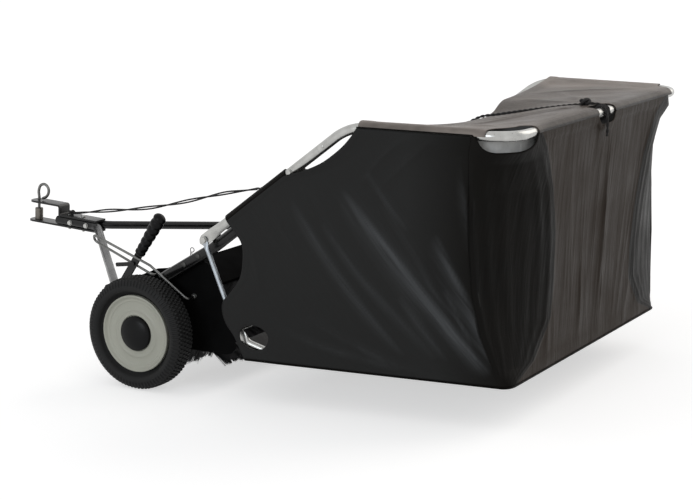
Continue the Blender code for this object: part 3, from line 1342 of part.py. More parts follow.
def hopper_bag(parent):
    """The bag: side, rear, top and bottom panels sewn into one, with its cut-outs."""
    half_t = CLOTH_T / 2
    low_z, top_z = LOW_SKIN_Z + half_t, TOP_SKIN_Z - half_t
    rear_y = rear_skin_y(low_z) - half_t
    lattice = (np.linspace(0.42, 0.95, 4), np.linspace(0.25, 0.65, 4))
    oval = circle((0, 0), 1, 12) * (0.042, 0.030) + (0.350, 0.180)
    panels = []
    for side, name in ((1, "hopper_bag"), (-1, "bag right side")):
        panels.append(cloth_panel(
            name, side_outline(), [oval], lattice, lambda y, z, s=side: (s * side_skin_x(y, z), y, z),
            (-side, 0, 0), parent
        ))
    zs = np.linspace(low_z, top_z, 5)
    edge = [(side_skin_x(rear_skin_y(z) - half_t, z) - half_t, z) for z in zs]
    outline = edge + [(-x, z) for x, z in edge[::-1]]
    lattice = ((-0.3, 0, 0.3), zs[1:-1])
    panels.append(cloth_panel("bag rear", outline, [], lattice, lambda x, z: (x, rear_skin_y(z), z), (0, -1, 0), parent, 0.5))
    ys = np.linspace(TOP_FRONT_SIDE_Y, rear_skin_y(top_z) - half_t, 4)
    right = [(side_skin_x(y, top_z) - half_t, y) for y in ys]
    xs = np.linspace(TOP_FLAT_X, -TOP_FLAT_X, 9)
    scallop = [
        (x, TOP_FRONT_SIDE_Y + (TOP_FRONT_MIDDLE_Y - TOP_FRONT_SIDE_Y) * (1 - (x / TOP_FLAT_X) ** 2))
        for x in xs
    ]
    columns = (TOP_FLAT_X, 0.40, 0.20, 0, -0.20, -0.40, -TOP_FLAT_X)
    outline = right + [(x, right[-1][1]) for x in columns] + [(-x, y) for x, y in right[::-1]] + scallop[
        ::-1
    ]
    lattice = (columns, (0.78, 0.86, 0.95, 1.037))
    surface = lambda x, y: (x, y, top_skin_z(x, y))
    panels.append(cloth_panel("bag top", outline, [], lattice, surface, (0, 0, -1), parent, 0.5))
    ys = [0.268, 0.289, 0.322, 0.420, 0.70, rear_y]
    right = [(side_skin_x(y, bottom_skin_z(y)) - half_t, y) for y in ys]
    outline = right + [(-x, y) for x, y in right[::-1]]
    lattice = ((-0.54, 0.54), (0.289, 0.322, 0.42, 0.70))
    surface = lambda x, y: (x, y, bottom_skin_z(y))
    panels.append(cloth_panel("bag bottom", outline, [], lattice, surface, (0, 0, 1), parent, 1.2))
    panels += [sleeve_lip(f"bag lip {side}", side, parent) for side in (1, -1)]
    bag = panels[0]
    bag.data.materials.append(black_fabric)
    for panel in panels[1:]:
        boolean(bag, panel, "UNION")
    for i, cutter in enumerate(bag_cutters(parent)):
        boolean(bag, cutter, "DIFFERENCE")
    weld = bag.modifiers.new("weld slivers", "WELD")
    weld.merge_threshold = 0.0001


def sleeve_lip(name, side, parent):
    """The strip of the bag that lies over the side tube, joined to the side panel."""
    low, high = SIDE_TUBE_R + GAP, SIDE_TUBE_R + GAP + CLOTH_T
    reach_in, reach_out = SIDE_TUBE_X - 0.006, side_skin_x(0.3, 0.5) - CLOTH_T / 2
    corners = []
    for x in (reach_in, reach_out):
        for along in (SLEEVE_START_ALONG + 0.001, SLEEVE_END_ALONG - 0.001):
            for above in (low, high):
                corners.append((side * x, *hopper_point(along, above)))
    faces = [(0, 1, 3, 2), (4, 6, 7, 5), (0, 4, 5, 1), (2, 3, 7, 6), (0, 2, 6, 4), (1, 5, 7, 3)]
    return mesh_object(name, corners, faces, None, parent)


def bag_cutters(parent):
    """The bare bends of the rear tube, and the gap in the sleeve where the rope is wound on it."""
    cutters = []
    for side in (1, -1):
        shape = circle((0, 0), 1, 14) * (0.135, 0.092) + (
            side * (TOP_REAR_X + 0.028), REAR_SKIN_TOP_Y + 0.002
        )
        cutters.append(
            flat_piece(f"corner cut {side}", shape, [], 0.09, None, parent, "Z", (0, 0, TOP_Z + 0.017))
        )
    low, high = (-0.045, TOP_REAR_Y - 0.032, TOP_Z - 0.029), (0.065, TOP_REAR_Y + 0.06, TOP_Z + 0.04)
    cutters.append(block("rope cut", low, high, parent))
    return cutters


# Rope

def rope_front_route():
    """Route of the front run, as (x, y, z): from the hitch bolt, over the next one, and up to the hopper."""
    return [
        (0, -0.7036, 0.3112), (0, -0.6885, 0.3122), (0, -0.6720, 0.3152), (0, -0.6563, 0.3172),
        (0, -0.6250, 0.3220),
        (0, -0.5600, 0.3320), (0, -0.4800, 0.3430), (0, -0.4010, 0.3560), (0, -0.3200, 0.3740),
        (0, -0.2530, 0.3910),
        (0, -0.1800, 0.4110), (0, -0.1160, 0.4270), (0, -0.0550, 0.4390), (0, -0.0110, 0.4480),
    ]


def rope_rear_route():
    """Route of the rear run to the rear tube: a straight pull, and then up the sagging top panel."""
    lift = ROPE_R + 0.0012
    over_top = [(0, y, top_skin_z(0, y) + lift) for y in (0.745, 0.80, 0.86, 0.92, 0.97, 1.01, 1.03)]
    start = (0, -0.0110 + 0.0003 * 0.98, 0.4480 + 0.0003 * 0.2)
    run = [
        start, (0, 0.06, 0.4640), (0, 0.15, 0.4880), (0, 0.26, 0.5200), (0, 0.38, 0.5590), (0, 0.50, 0.6060)
    ]
    return run + [(0, 0.60, 0.6540), (0, 0.67, 0.6900), (0, 0.71, 0.7085)] + over_top


def rope_turns():
    """The winding on the rear tube, as a helix about it, and the tail that hangs behind the bag."""
    radius = SIDE_TUBE_R + GAP + ROPE_R
    steps = round(24 * ROPE_TURNS)
    part = np.linspace(0, 1, steps + 1)
    angle = math.pi / 2 - 2 * math.pi * ROPE_TURNS * part
    x = ROPE_PITCH * ROPE_TURNS * part
    turns = np.column_stack([x, TOP_REAR_Y + radius * np.cos(angle), TOP_Z + radius * np.sin(angle)])
    end_x, tail_y = turns[-1][0], REAR_SKIN_TOP_Y + ROPE_R + GAP
    tail = [
        (end_x, tail_y, TOP_Z - 0.018), (end_x, tail_y + 0.0005, TOP_Z - 0.036),
        (end_x, tail_y, TOP_Z - 0.060)
    ]
    return turns, tail


def least_gap(path, diameter):
    """Least space between parts of the path that lie more than four diameters apart along it."""
    run = np.concatenate([[0], np.cumsum(np.linalg.norm(np.diff(path, axis=0), axis=1))])
    apart = np.linalg.norm(path[:, None] - path[None], axis=2)
    apart[np.abs(run[:, None] - run[None]) < 4 * diameter] = 1.0
    return apart.min() - diameter


def ropes(tongue, hopper):
    """The twisted rope, as two plain runs that meet above the hood."""
    rod("rope_front", smooth_through(rope_front_route(), 0.024), ROPE_R, rope_black, tongue, 2)
    turns, tail = rope_turns()
    lead = smooth_through(rope_rear_route() + [tuple(turns[0])], 0.024)
    path = np.vstack([lead, turns[1:], smooth_through([tuple(turns[-1])] + tail, 0.015)[1:]])
    rod("rope_rear", path, ROPE_R, rope_black, hopper, 2)
    print(f"least gap between the rope's turns: {1000 * least_gap(path, 2 * ROPE_R):.2f} mm")


# The machine

clear_scene()
black_steel = material("black painted steel", (0.012, 0.012, 0.012), 0.35)
zinc = material("zinc-plated steel", (0.62, 0.62, 0.58), 0.32, 1.0)
brown_steel = material("bare grey-brown steel", (0.20, 0.18, 0.16), 0.45, 0.8)
black_plastic = material("black plastic", (0.014, 0.014, 0.015), 0.45)
off_white = material("off-white moulded plastic", (0.36, 0.36, 0.31), 0.5)
rubber = material("black rubber", (0.015, 0.015, 0.015), 0.7)
bristle_black = material("black bristle", (0.012, 0.012, 0.012), 0.6)
black_fabric = material("black coated fabric", (0.014, 0.014, 0.014), 0.55)
rope_black = material("black rope", (0.02, 0.02, 0.02), 0.8)

machine = None
machine = empty("machine", (0, AXLE_Y, 0))
HITCH_FRAME = Matrix.Translation((0, HITCH_Y, HITCH_Z)) @ Matrix.Rotation(-TILT, 4, "X")
SIDES = ((1, "left"), (-1, "right"))


def build_chassis():
    brush_hood()
    for side, word in SIDES:
        side_plate(f"side_plate_{word}", side)
        arm_tube(f"arm_tube_{word}", side)
        arm_cap(f"arm_cap_{word}", side)
        for place, end in zip(arm_pin_places(), ("front", "rear")):
            arm_pin(f"arm_pin_{word}_{end}", place, side)
        axle_bolt(f"axle_bolt_{word}", side)
        shaft_bearing(f"shaft_bearing_{word}", side)
        pivot_bolt(f"pivot_bolt_{word}", side)
        tongue_bolt(f"tongue_bolt_{word}", side)
    wire_guide()


def build_wheels():
    for side, word in SIDES:
        axle = empty(f"{word} axle", (0, 0, AXLE_Z), machine)
        wheel_disc(f"wheel_disc_{word}", side, axle)
        ring_gear(f"ring_gear_{word}", side, axle)
        hub_cap(f"hub_cap_{word}", side, axle)
        tyre(f"tyre_{word}", side, axle)


def build_brush():
    shaft = empty("brush axis", (0, BRUSH_Y, BRUSH_Z), machine)
    brush_shaft(shaft)
    for number in range(BRISTLE_ROWS):
        bristle_strip(f"bristle_strip_{number + 1}", number, shaft)
    for side, word in SIDES:
        pinion(f"pinion_{word}", side, shaft)


def build_tongue():
    tongue = empty("tongue axis", (0, TONGUE_Y, TONGUE_Z), machine)
    for side, word in SIDES:
        hitch_tube(f"hitch_tube_{word}", side, tongue)
    hitch_plate_lower(tongue)
    hitch_plate_upper(tongue)
    hitch_spacer(tongue)
    for place, end in zip(TOP_BOLT_PLACES, ("front", "rear")):
        hitch_top_bolt(f"hitch_top_bolt_{end}", place, tongue)
    for place, end in zip(SIDE_BOLT_PLACES, ("front", "rear")):
        hitch_side_bolt(f"hitch_side_bolt_{end}", place, tongue)
    height_lever(tongue)
    lever_grip(tongue)
    lever_latch(tongue)
    hitch_pin(empty("pin axis", hitch_place(0, HITCH_PIN_PLACE, 0), tongue))
    return tongue


def build_hopper():
    hopper = empty("hopper axis", (0, *PIVOT), machine)
    top_frame(hopper)
    lower_frame(hopper)
    cross_rod(hopper)
    for side, word in SIDES:
        side_tube(f"side_tube_{word}", side, hopper)
        strut(f"strut_{word}", side, hopper)
        rest_pin(f"rest_pin_{word}", side, hopper)
    hopper_bag(hopper)
    return hopper


build_chassis()
build_wheels()
build_brush()
ropes(build_tongue(), build_hopper())
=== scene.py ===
"""Looks of a tow-behind lawn sweeper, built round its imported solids.

Units are metres. X points to the machine's left, Y to the rear and Z up. Places are measured from the ground
under the middle of the axle, and piece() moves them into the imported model's frame.
"""
import json
import math

import bmesh
import bpy
import numpy as np
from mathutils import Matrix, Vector


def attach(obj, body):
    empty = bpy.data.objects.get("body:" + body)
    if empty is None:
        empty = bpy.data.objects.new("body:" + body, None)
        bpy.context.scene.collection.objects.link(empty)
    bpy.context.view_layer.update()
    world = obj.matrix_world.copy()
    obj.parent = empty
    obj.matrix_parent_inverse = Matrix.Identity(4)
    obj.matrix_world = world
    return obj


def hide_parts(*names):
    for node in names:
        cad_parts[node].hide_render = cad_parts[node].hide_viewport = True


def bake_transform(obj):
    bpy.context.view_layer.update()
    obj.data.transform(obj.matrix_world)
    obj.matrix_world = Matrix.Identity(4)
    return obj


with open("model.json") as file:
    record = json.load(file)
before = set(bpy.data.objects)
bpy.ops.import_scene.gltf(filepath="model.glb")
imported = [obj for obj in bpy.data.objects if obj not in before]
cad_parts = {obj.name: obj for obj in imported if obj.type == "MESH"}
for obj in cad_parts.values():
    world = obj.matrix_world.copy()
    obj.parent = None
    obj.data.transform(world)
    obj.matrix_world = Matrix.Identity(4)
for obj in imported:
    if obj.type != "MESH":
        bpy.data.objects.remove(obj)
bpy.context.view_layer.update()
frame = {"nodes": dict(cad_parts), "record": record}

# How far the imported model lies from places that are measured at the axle
AXLE_SHIFT = -0.106149
SIDES = ((1, "left"), (-1, "right"))

# Camera and light
CAMERA_PLACE = (4.3355, 2.6880, 1.3385)
CAMERA_AHEAD = (-0.84751, -0.49014, -0.20370)
CAMERA_LENS = 93.23
WORLD_LIGHT, FLOOR_GLOW = 0.50, 0.56

# General fits
GAP = 0.0003
PAD_BLEND = 2.2

# Wheels
TYRE_R, TYRE_WIDTH, TYRE_INNER_X = 0.1524, 0.0745, 0.5625
WHEEL_OUTER_X = TYRE_INNER_X + TYRE_WIDTH
AXLE_Z = TYRE_R
DISC_R, DRUM_R, DRUM_IN_R, DRUM_STEP_X = 0.104, 0.1159, 0.1134, 0.5848
AXLE_R, COLLAR_R, HUB_R = 0.008, 0.011, 0.020
HUB_IN_X, HUB_OUT_X = TYRE_INNER_X + 0.0005, WHEEL_OUTER_X - 0.0125
HUB_CAP_R, HUB_CAP_RISE = 0.047, 0.013
LUGS, LUG_DEPTH = 84, 0.0042

# Brush
BRUSH_Y, BRUSH_Z = 0.084, AXLE_Z
BRUSH_ANGLE = -33
BRISTLE_R, CORE_HALF, STRIP_HALF_LENGTH = 0.150, 0.022, 0.506
TUFTS, TUFT_BRISTLES = 112, 40

# Chassis
PLATE_X, PLATE_T = 0.520, 0.0025
PLATE_IN_X, PLATE_OUT_X = PLATE_X - PLATE_T - GAP, PLATE_X + GAP
HOOD_R, HOOD_T, HOOD_LIP, HOOD_ANGLES = 0.1695, 0.0015, 0.010, (50, 205)
ARM_R, ARM_WALL, ARM_X, ARM_OUTER_X = 0.015, 0.002, 0.5353, 0.5503
ARM_LOW_LENGTH, ARM_HIGH_LENGTH, ARM_LOW_ANGLE = 0.190, 0.366, math.radians(31.1)
ARM_PIN_BACK = (("front", 0.098), ("rear", 0.0455))
ARM_PIN_R, ARM_PIN_HEAD_R = 0.004, 0.0068
GUIDE_R, GUIDE_NUT_R, GUIDE_BOLT_PLACE, GUIDE_LOW_PLACE = 0.0035, 0.0065, (0.121, 0.247), (0.003, 0.296)
UPPER_LEG_X, LOWER_LEG_X = 0.5543, 0.5413

# Hopper: places along and above the side tubes are counted from the pivot
PIVOT = np.array([0.192, 0.4165])
ALONG = np.array([math.cos(math.radians(36.9)), math.sin(math.radians(36.9))])
ABOVE = np.array([-ALONG[1], ALONG[0]])
PIVOT_BOLT_R, SLEEVE_R, REST_PIN_R, BUTTON_R, CROSS_ROD_R = 0.0045, 0.0085, 0.004, 0.0042, 0.004
SIDE_TUBE_X, TUBE_R, TUBE_WALL = 0.5700, 0.0127, 0.0015
STRUT_X, STRUT_R, STRUT_WALL = 0.5734, 0.00635, 0.0012
JOINT_ALONG, REST_PIN_ALONG = 0.4377, 0.334
TOP_Z, TOP_REAR_X, TOP_REAR_Y = 0.742, 0.552, 1.056
LOWER_Z, LOWER_R, LOWER_REAR_X, LOWER_REAR_Y = 0.1278, 0.0095, 0.482, 1.020
LOWER_FRONT = (0.289, 0.187)

# The arm tube's bend, and the way along its lower run
ARM_BEND = PIVOT - 0.024 * ABOVE - 0.0155 * ALONG
ARM_LOW = np.array([math.cos(ARM_LOW_ANGLE), math.sin(ARM_LOW_ANGLE)])

# Bag
BAG_TOP, BAG_LOW, BAG_FOOT = 0.758, 0.1150, 0.1163
BAG_REAR_Y, BAG_HALF_WIDTH = 1.074, 0.5485
BAG_MIDDLE = (0, 0.68, 0.42)
CLOTH_T = 0.0016

# Tongue: places along and above the hitch head are counted from its own middle
TONGUE = np.array([-0.112, 0.238])
TONGUE_BOLT_R, TONGUE_SHOULDER_R = 0.0045, 0.008
HITCH_TUBE_R, HITCH_TUBE_WALL, HITCH_TUBE_APART, HITCH_TUBE_FRONT = 0.0125, 0.002, 0.0175, -0.145
HITCH, HITCH_TILT = np.array([-0.600, 0.282]), math.radians(3)
HITCH_BOLT_R, HITCH_HEAD_R, HITCH_HEAD_T = 0.004, 0.0068, 0.0055
TOP_BOLT_PLACES, SIDE_BOLT_PLACES = (("front", -0.112), ("rear", -0.058)), (
    ("front", -0.087), ("rear", -0.025)
)
STRAP_T, UPPER_STRAP_TOP = 0.006, 0.0485
LOWER_STRAP_Z = -HITCH_TUBE_R - GAP - STRAP_T
PIN_ALONG, PIN_R = -0.234, 0.0045
SPACER_R, SPACER_HEIGHT = 0.0125, 0.035
LEVER_X, LEVER_T, LEVER_UP = 0.5478, 0.005, np.array(
    [math.cos(math.radians(56)), math.sin(math.radians(56))]
)
GRIP_START, GRIP_LENGTH, GRIP_RIBS = 0.137, 0.135, 5

# Rope
ROPE_R = 0.004
ROPE_PITCH, ROPE_TURNS = 0.0095, 2.25

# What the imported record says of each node
SLOT_OF = {row["node"]: row["material_slot"] for row in frame["record"]["subparts"]}
BODY_OF = {name: body for body, names in frame["record"]["behaviour"]["bodies"].items() for name in names}


# Camera and light

def aim_camera():
    """The camera stands where the photograph was taken from and looks the same way."""
    lens = bpy.data.cameras.new("camera")
    lens.lens, lens.sensor_width = CAMERA_LENS, 36
    lens.clip_start, lens.clip_end = 0.05, 100
    camera = bpy.data.objects.new("camera", lens)
    bpy.context.collection.objects.link(camera)
    camera.location = CAMERA_PLACE
    camera.rotation_mode = "QUATERNION"
    camera.rotation_quaternion = Vector(CAMERA_AHEAD).to_track_quat("-Z", "Y")
    bpy.context.scene.camera = camera


def sun(name, towards, width, strength, colour):
    """A far, soft light from the given direction, as wide as the angle in degrees."""
    light = bpy.data.lights.new(name, "SUN")
    light.angle, light.energy, light.color = math.radians(width), strength, colour
    stand = bpy.data.objects.new(name, light)
    bpy.context.collection.objects.link(stand)
    stand.location = Vector(towards) * 6
    stand.rotation_mode = "QUATERNION"
    stand.rotation_quaternion = (-Vector(towards)).to_track_quat("-Z", "Y")


aim_camera()


# Paths and grids

def unit(vectors):
    """Vectors in the same directions with a length of 1."""
    return vectors / np.linalg.norm(vectors, axis=-1, keepdims=True)


def run_of(path):
    """Distance of each point of a path from its start."""
    return np.concatenate([[0], np.cumsum(np.linalg.norm(np.diff(path, axis=0), axis=1))])


def read_at(path, places):
    """Points of a path at these distances from its start."""
    run = run_of(path)
    return np.column_stack([np.interp(places, run, path[:, axis]) for axis in range(path.shape[1])])


def arc_corner(before, corner, after, radius, steps):
    """Points of the arc that rounds a corner between two straight runs: equal steps of its sweep."""
    back, ahead = unit(before - corner), unit(after - corner)
    half = math.acos(np.clip(back @ ahead, -1, 1)) / 2
    room = min(np.linalg.norm(before - corner), np.linalg.norm(after - corner))
    radius = min(radius, 0.49 * math.tan(half) * room)
    centre = corner + unit(back + ahead) * radius / math.sin(half)
    first = corner + back * radius / math.tan(half) - centre
    last = corner + ahead * radius / math.tan(half) - centre
    sweep = math.pi - 2 * half
    part = np.linspace(0, 1, steps + 1)[:, None]
    return centre + (np.sin((1 - part) * sweep) * first + np.sin(part * sweep) * last) / math.sin(sweep)


def rounded_path(corners, radii, steps=10):
    """A run through the corners, with each inner corner rounded by its own radius."""
    corners = [np.array(corner, float) for corner in corners]
    arcs = [arc_corner(*corners[i:i + 3], radius, steps) for i, radius in enumerate(radii)]
    return np.vstack([corners[:1], *arcs, corners[-1:]])


def filled(path, spacing):
    """The path's own points and further ones between them, no further apart than the spacing."""
    run = run_of(path)
    even = np.linspace(0, run[-1], max(2, math.ceil(run[-1] / spacing)))
    return read_at(path, np.unique(np.concatenate([run, even]).round(6)))


def smooth_through(points, spacing):
    """A Catmull-Rom curve through the points, read at even spacing.

    Between b and c it is half of 2b + (c - a)t + (2a - 5b + 4c - d)t^2 + (3b - a - 3c + d)t^3.
    """
    points = np.array(points, float)
    ends = np.vstack([2 * points[0] - points[1], points, 2 * points[-1] - points[-2]])
    t = np.linspace(0, 1, 25)[1:, None, None]
    a, b, c, d = ends[:-3], ends[1:-2], ends[2:-1], ends[3:]
    square, cube = 2 * a - 5 * b + 4 * c - d, 3 * b - a - 3 * c + d
    fine = 0.5 * (2 * b + (c - a) * t + square * t**2 + cube * t**3)
    fine = np.vstack([points[:1], fine.transpose(1, 0, 2).reshape(-1, points.shape[1])])
    length = run_of(fine)[-1]
    return read_at(fine, np.linspace(0, length, max(2, round(length / spacing) + 1)))


def ways(path, across):
    """Along a path: two ways square to it, the second as near as it can be to the given way."""
    step = unit(np.diff(path, axis=0))
    heading = unit(np.vstack([step[:1], step[1:] + step[:-1], step[-1:]]))
    across = np.array(across, float)
    deep = unit(across - heading * np.sum(heading * across, axis=1)[:, None])
    return np.cross(deep, heading), deep


def carried(path, wide, deep, across):
    """Rings of places carried along a path: path + wide x first way + deep x second way."""
    wide_way, deep_way = ways(path, across)
    return path[:, None] + wide[..., None] * wide_way[:, None] + deep[..., None] * deep_way[:, None]


def grid_faces(rows, cols, kept=None):
    """Four-sided faces between neighbouring points of a grid, except where a mask leaves a cell out."""
    row, col = np.meshgrid(np.arange(rows - 1), np.arange(cols - 1), indexing="ij")
    corner = row * cols + col
    corner = corner.ravel() if kept is None else corner[kept]
    return np.column_stack([corner, corner + 1, corner + cols + 1, corner + cols])


def sided(points, side):
    """The points on this side of the machine: 1 is left and -1 is right."""
    return np.asarray(points, float) * (side, 1, 1)


def at_x(x, places):
    """(y, z) places at one x."""
    places = np.atleast_2d(places)
    return np.column_stack([np.full(len(places), x), places])


# Pieces

def shown(name, mesh, look, body, stands_for):
    """Put a finished mesh into the scene: its material, the nodes it stands for and its body."""
    mesh.materials.append(look)
    obj = bpy.data.objects.new(name, mesh)
    bpy.context.collection.objects.link(obj)
    if stands_for:
        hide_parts(*stands_for)
    if body is not None:
        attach(obj, body)
    return obj


def piece(name, grids, look, body, stands_for=(), sharp=38, closed=True):
    """One mesh piece from grids of points, each given as points alone or with four more values.

    These are the mask of its faces, its own map, its fold map and its map of painted light (a painted sheen
    and painted light and shade for the fabric), where None means the plain one. Doubles are merged. Then a
    closed piece has its faces turned outwards, and an open sheet away from the bag's middle.
    """
    points, faces, places, folds, crests, first = [], [], [], [], [], 0
    for grid in grids:
        grid, kept, uv, fold, crest = grid if isinstance(grid, tuple) else (grid, None, None, None, None)
        rows, cols = grid.shape[:2]
        cells = grid_faces(rows, cols, kept)
        if uv is None:
            v, u = np.meshgrid(np.linspace(0, 1, rows), np.linspace(0, 1, cols), indexing="ij")
            uv = np.stack([u, v], axis=-1)
        crest = np.zeros((rows, cols, 2)) if crest is None else crest
        for maps, values in ((places, uv), (folds, uv if fold is None else fold), (crests, crest)):
            maps.append(values.reshape(-1, 2)[cells.ravel()])
        points.append(grid.reshape(-1, 3))
        faces.append(cells + first)
        first += rows * cols
    mesh = bpy.data.meshes.new(name)
    mesh.from_pydata((np.vstack(points) + (0, AXLE_SHIFT, 0)).tolist(), [], np.vstack(faces).tolist())
    # The crests map carries the fabric's painted light: a painted sheen on folds, and painted light and
    # shade by facing
    for label, maps in (("UVMap", places), ("folds", folds), ("crests", crests)):
        mesh.uv_layers.new(name=label).uv.foreach_set("vector", np.vstack(maps).astype(np.float32).ravel())
    shaped = bmesh.new()
    shaped.from_mesh(mesh)
    bmesh.ops.remove_doubles(shaped, verts=shaped.verts, dist=2e-6)
    bmesh.ops.dissolve_degenerate(shaped, edges=shaped.edges, dist=1e-7)
    if closed:
        bmesh.ops.recalc_face_normals(shaped, faces=shaped.faces)
    else:
        centre = Vector(BAG_MIDDLE) + Vector((0, AXLE_SHIFT, 0))
        outwards = [(f.calc_center_median() - centre).dot(f.normal) * f.calc_area() for f in shaped.faces]
        if sum(outwards) < 0:
            bmesh.ops.reverse_faces(shaped, faces=shaped.faces)
    shaped.to_mesh(mesh)
    shaped.free()
    mesh.shade_smooth()
    mesh.set_sharp_from_angle(angle=math.radians(sharp))
    return shown(name, mesh, look, body, stands_for)


def stand_in(node_name, ending, grids, look, sharp=38):
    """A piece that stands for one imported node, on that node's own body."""
    return piece(
        f"{node_name}_{ending}", grids, look, BODY_OF[node_name], [node_name], sharp
    )


def ring_angles(sides):
    """Angles of a ring's points, with the first one again at its end."""
    return np.linspace(0, 2 * math.pi, sides + 1)


def flatness(distance, half_width, pad):
    """How flat a pressed tube end is: 1 over the pad, falling smoothly to 0 where the tube is round."""
    part = np.clip((distance / half_width - pad) / PAD_BLEND, 0, 1)
    return 1 - part * part * (3 - 2 * part)


def tip_width(distance, half_width):
    """Width of the rounded tip as a share of the pad's width: a quarter circle."""
    part = np.clip(1 - distance / half_width, 0, 1)
    return np.sqrt(np.maximum(1 - part * part, 0.02))


def hollow_rings(path, radius, wall, flat, tip, across, sides, upright=False):
    """A hollow tube as one grid: its outer rings from start to end, then its inner rings back again.

    A ring is (wide r cos a, deep r sin a). Where flat is 1 it is an oval, as wide as the tip and as deep as
    the pressed walls. Upright rings have their wide way along the way across.
    """
    flat, tip, a = flat[:, None], tip[:, None], ring_angles(sides)[None]
    shells = []
    for r, pad_w, pad_t in ((radius, tip, wall + 0.0002), (radius - wall, tip - wall, 0.0002)):
        wide = ((1 - flat) * r + flat * np.maximum(pad_w, 0.0005)) * np.cos(a)
        deep = (1 - flat) * r * np.sin(a) + flat * pad_t * np.clip(1.6 * np.sin(a), -1, 1)
        shells.append(carried(path, deep, wide, across) if upright else carried(path, wide, deep, across))
    return np.vstack([shells[0], shells[1][::-1], shells[0][:1]])


def tube(
    path, radius, wall=TUBE_WALL, across=(1, 0, 0), pads=(), pad=2.0, sides=28, spacing=0.02, pad_share=1.0
):
    """A hollow tube along a path. Towards a pressed end it goes over to a flat oval of the same girth.

    The oval is narrower by the pad's share where the edges are folded in.
    """
    half_width = math.pi * radius / 2
    path = filled(np.array(path, float), spacing)
    if pads:
        run = run_of(path)
        marks = half_width * np.linspace(0.001, pad + PAD_BLEND, 22)
        extra = np.concatenate([marks if "start" in pads else [], run[-1] - marks if "end" in pads else []])
        path = read_at(path, np.unique(np.concatenate([run, extra]).round(6)))
    run = run_of(path)
    flat, tip = np.zeros(len(run)), np.ones(len(run))
    for end, distance in (("start", run), ("end", run[-1] - run)):
        if end in pads:
            flat = np.maximum(flat, flatness(distance, half_width, pad))
            tip = np.minimum(tip, tip_width(distance, half_width))
    return hollow_rings(path, radius, wall, flat, pad_share * half_width * tip, across, sides)


def rod(path, radius, across=(1, 0, 0), sides=14, spacing=0.02):
    """A solid round rod: rings of its radius, drawn in to a point over a quarter circle at each end."""
    path = filled(np.array(path, float), spacing)
    run = run_of(path)
    cap = radius * (1 - np.cos(np.linspace(0, math.pi / 2, 5)))
    places = np.unique(np.concatenate([run, cap, run[-1] - cap]).round(7))
    near = np.minimum(places, places[-1] - places)
    size = np.sqrt(np.clip(1 - (1 - np.clip(near / radius, 0, 1)) ** 2, 0, 1)) * radius
    a = ring_angles(sides)[None]
    return carried(read_at(path, places), size[:, None] * np.cos(a), size[:, None] * np.sin(a), across)


def spun(profile, centre=(0, 0), side=1, steps=48, turn=None):
    """A profile of (x, radius, flats) turned about the line along X through the centre.

    Where flats is 6 the radius r becomes r cos 30 / cos(a mod 60 - 30), which is a hexagon with corners at
    r. A turn is the three ways that X, Y and Z go over to, and the place of the profile's start.
    """
    rows = np.array([(*row, 0)[:3] for row in profile], float)
    a = ring_angles(steps)[None]
    x, r, flats = (rows[:, [k]] for k in range(3))
    hexed = math.cos(math.pi / 6) / np.cos(np.mod(a, math.pi / 3) - math.pi / 6)
    r = r * np.where(flats > 0, hexed, 1.0)
    points = np.stack([x + 0 * a, r * np.cos(a), r * np.sin(a)], axis=-1)
    if turn is None:
        return sided(points + (0, *centre), side)
    basis, origin = turn
    return sided(points @ np.array(basis, float) + origin, side)


def bolt(head_x, head_t, head_r, shank_r, nut_x, nut_t, nut_r, tail=0.004, shoulder=()):
    """Profile of a bolt along X: a chamfered hexagon nut and washer, a shank and a chamfered hexagon head.

    A shoulder is two or more rows of (x, radius) on the shank.
    """
    end, low = nut_x - nut_t - tail, nut_x - nut_t
    return [
        (end, 0), (end, 0.75 * shank_r), (end + 0.0008, shank_r), (low, shank_r), (low, 0.84 * nut_r),
        (low + 0.0007, 0.97 * nut_r, 6), (nut_x - 0.0009, nut_r, 6), (nut_x - 0.0009, 1.12 * nut_r),
        (nut_x, 1.12 * nut_r), (nut_x, shank_r), *shoulder, (head_x, shank_r), (head_x, 1.12 * head_r),
        (head_x + 0.0009, 1.12 * head_r), (head_x + 0.0009, head_r, 6),
        (head_x + head_t - 0.0007, 0.98 * head_r, 6), (head_x + head_t, 0.84 * head_r), (head_x + head_t, 0),
    ]


# Shared effects

def group(name, inputs, outputs):
    """A shader node group with named sockets: (name, kind, value) in, (name, kind) out."""
    made = bpy.data.node_groups.new(name, "ShaderNodeTree")
    for label, kind, value in inputs:
        socket = made.interface.new_socket(label, in_out="INPUT", socket_type=kind)
        if value is not None:
            socket.default_value = value
    for label, kind in outputs:
        made.interface.new_socket(label, in_out="OUTPUT", socket_type=kind)
    return made, made.nodes.new("NodeGroupInput"), made.nodes.new("NodeGroupOutput")


def node(tree, kind, links=(), **values):
    """A node with its inputs linked and its values set: links are (input, source socket).

    A value whose name starts with in_ goes to the input of that name or number, any other to the node
    itself.
    """
    made = tree.nodes.new(kind)
    for key, value in values.items():
        if key.startswith("in_"):
            slot = key[3:].replace("_", " ")
            made.inputs[int(slot) if slot.isdigit() else slot].default_value = value
        else:
            setattr(made, key, value)
    for where, source in links:
        tree.links.new(source, made.inputs[where])
    return made


def grain_group():
    """Fine and broad noise on object coordinates: a height for bumps and a mask for colour and gloss."""
    made, into, out = group(
        "surface grain",
        [
            ("Vector", "NodeSocketVector", None), ("Fine", "NodeSocketFloat", 900.0),
            ("Broad", "NodeSocketFloat", 14.0),
        ],
        [("Height", "NodeSocketFloat"), ("Mask", "NodeSocketFloat")],
    )
    fine = node(
        made, "ShaderNodeTexNoise", [("Vector", into.outputs[0]), ("Scale", into.outputs[1])], in_Detail=3.0
    )
    broad = node(
        made, "ShaderNodeTexNoise", [("Vector", into.outputs[0]), ("Scale", into.outputs[2])], in_Detail=5.0
    )
    made.links.new(fine.outputs[0], out.inputs[0])
    made.links.new(broad.outputs[0], out.inputs[1])
    return made


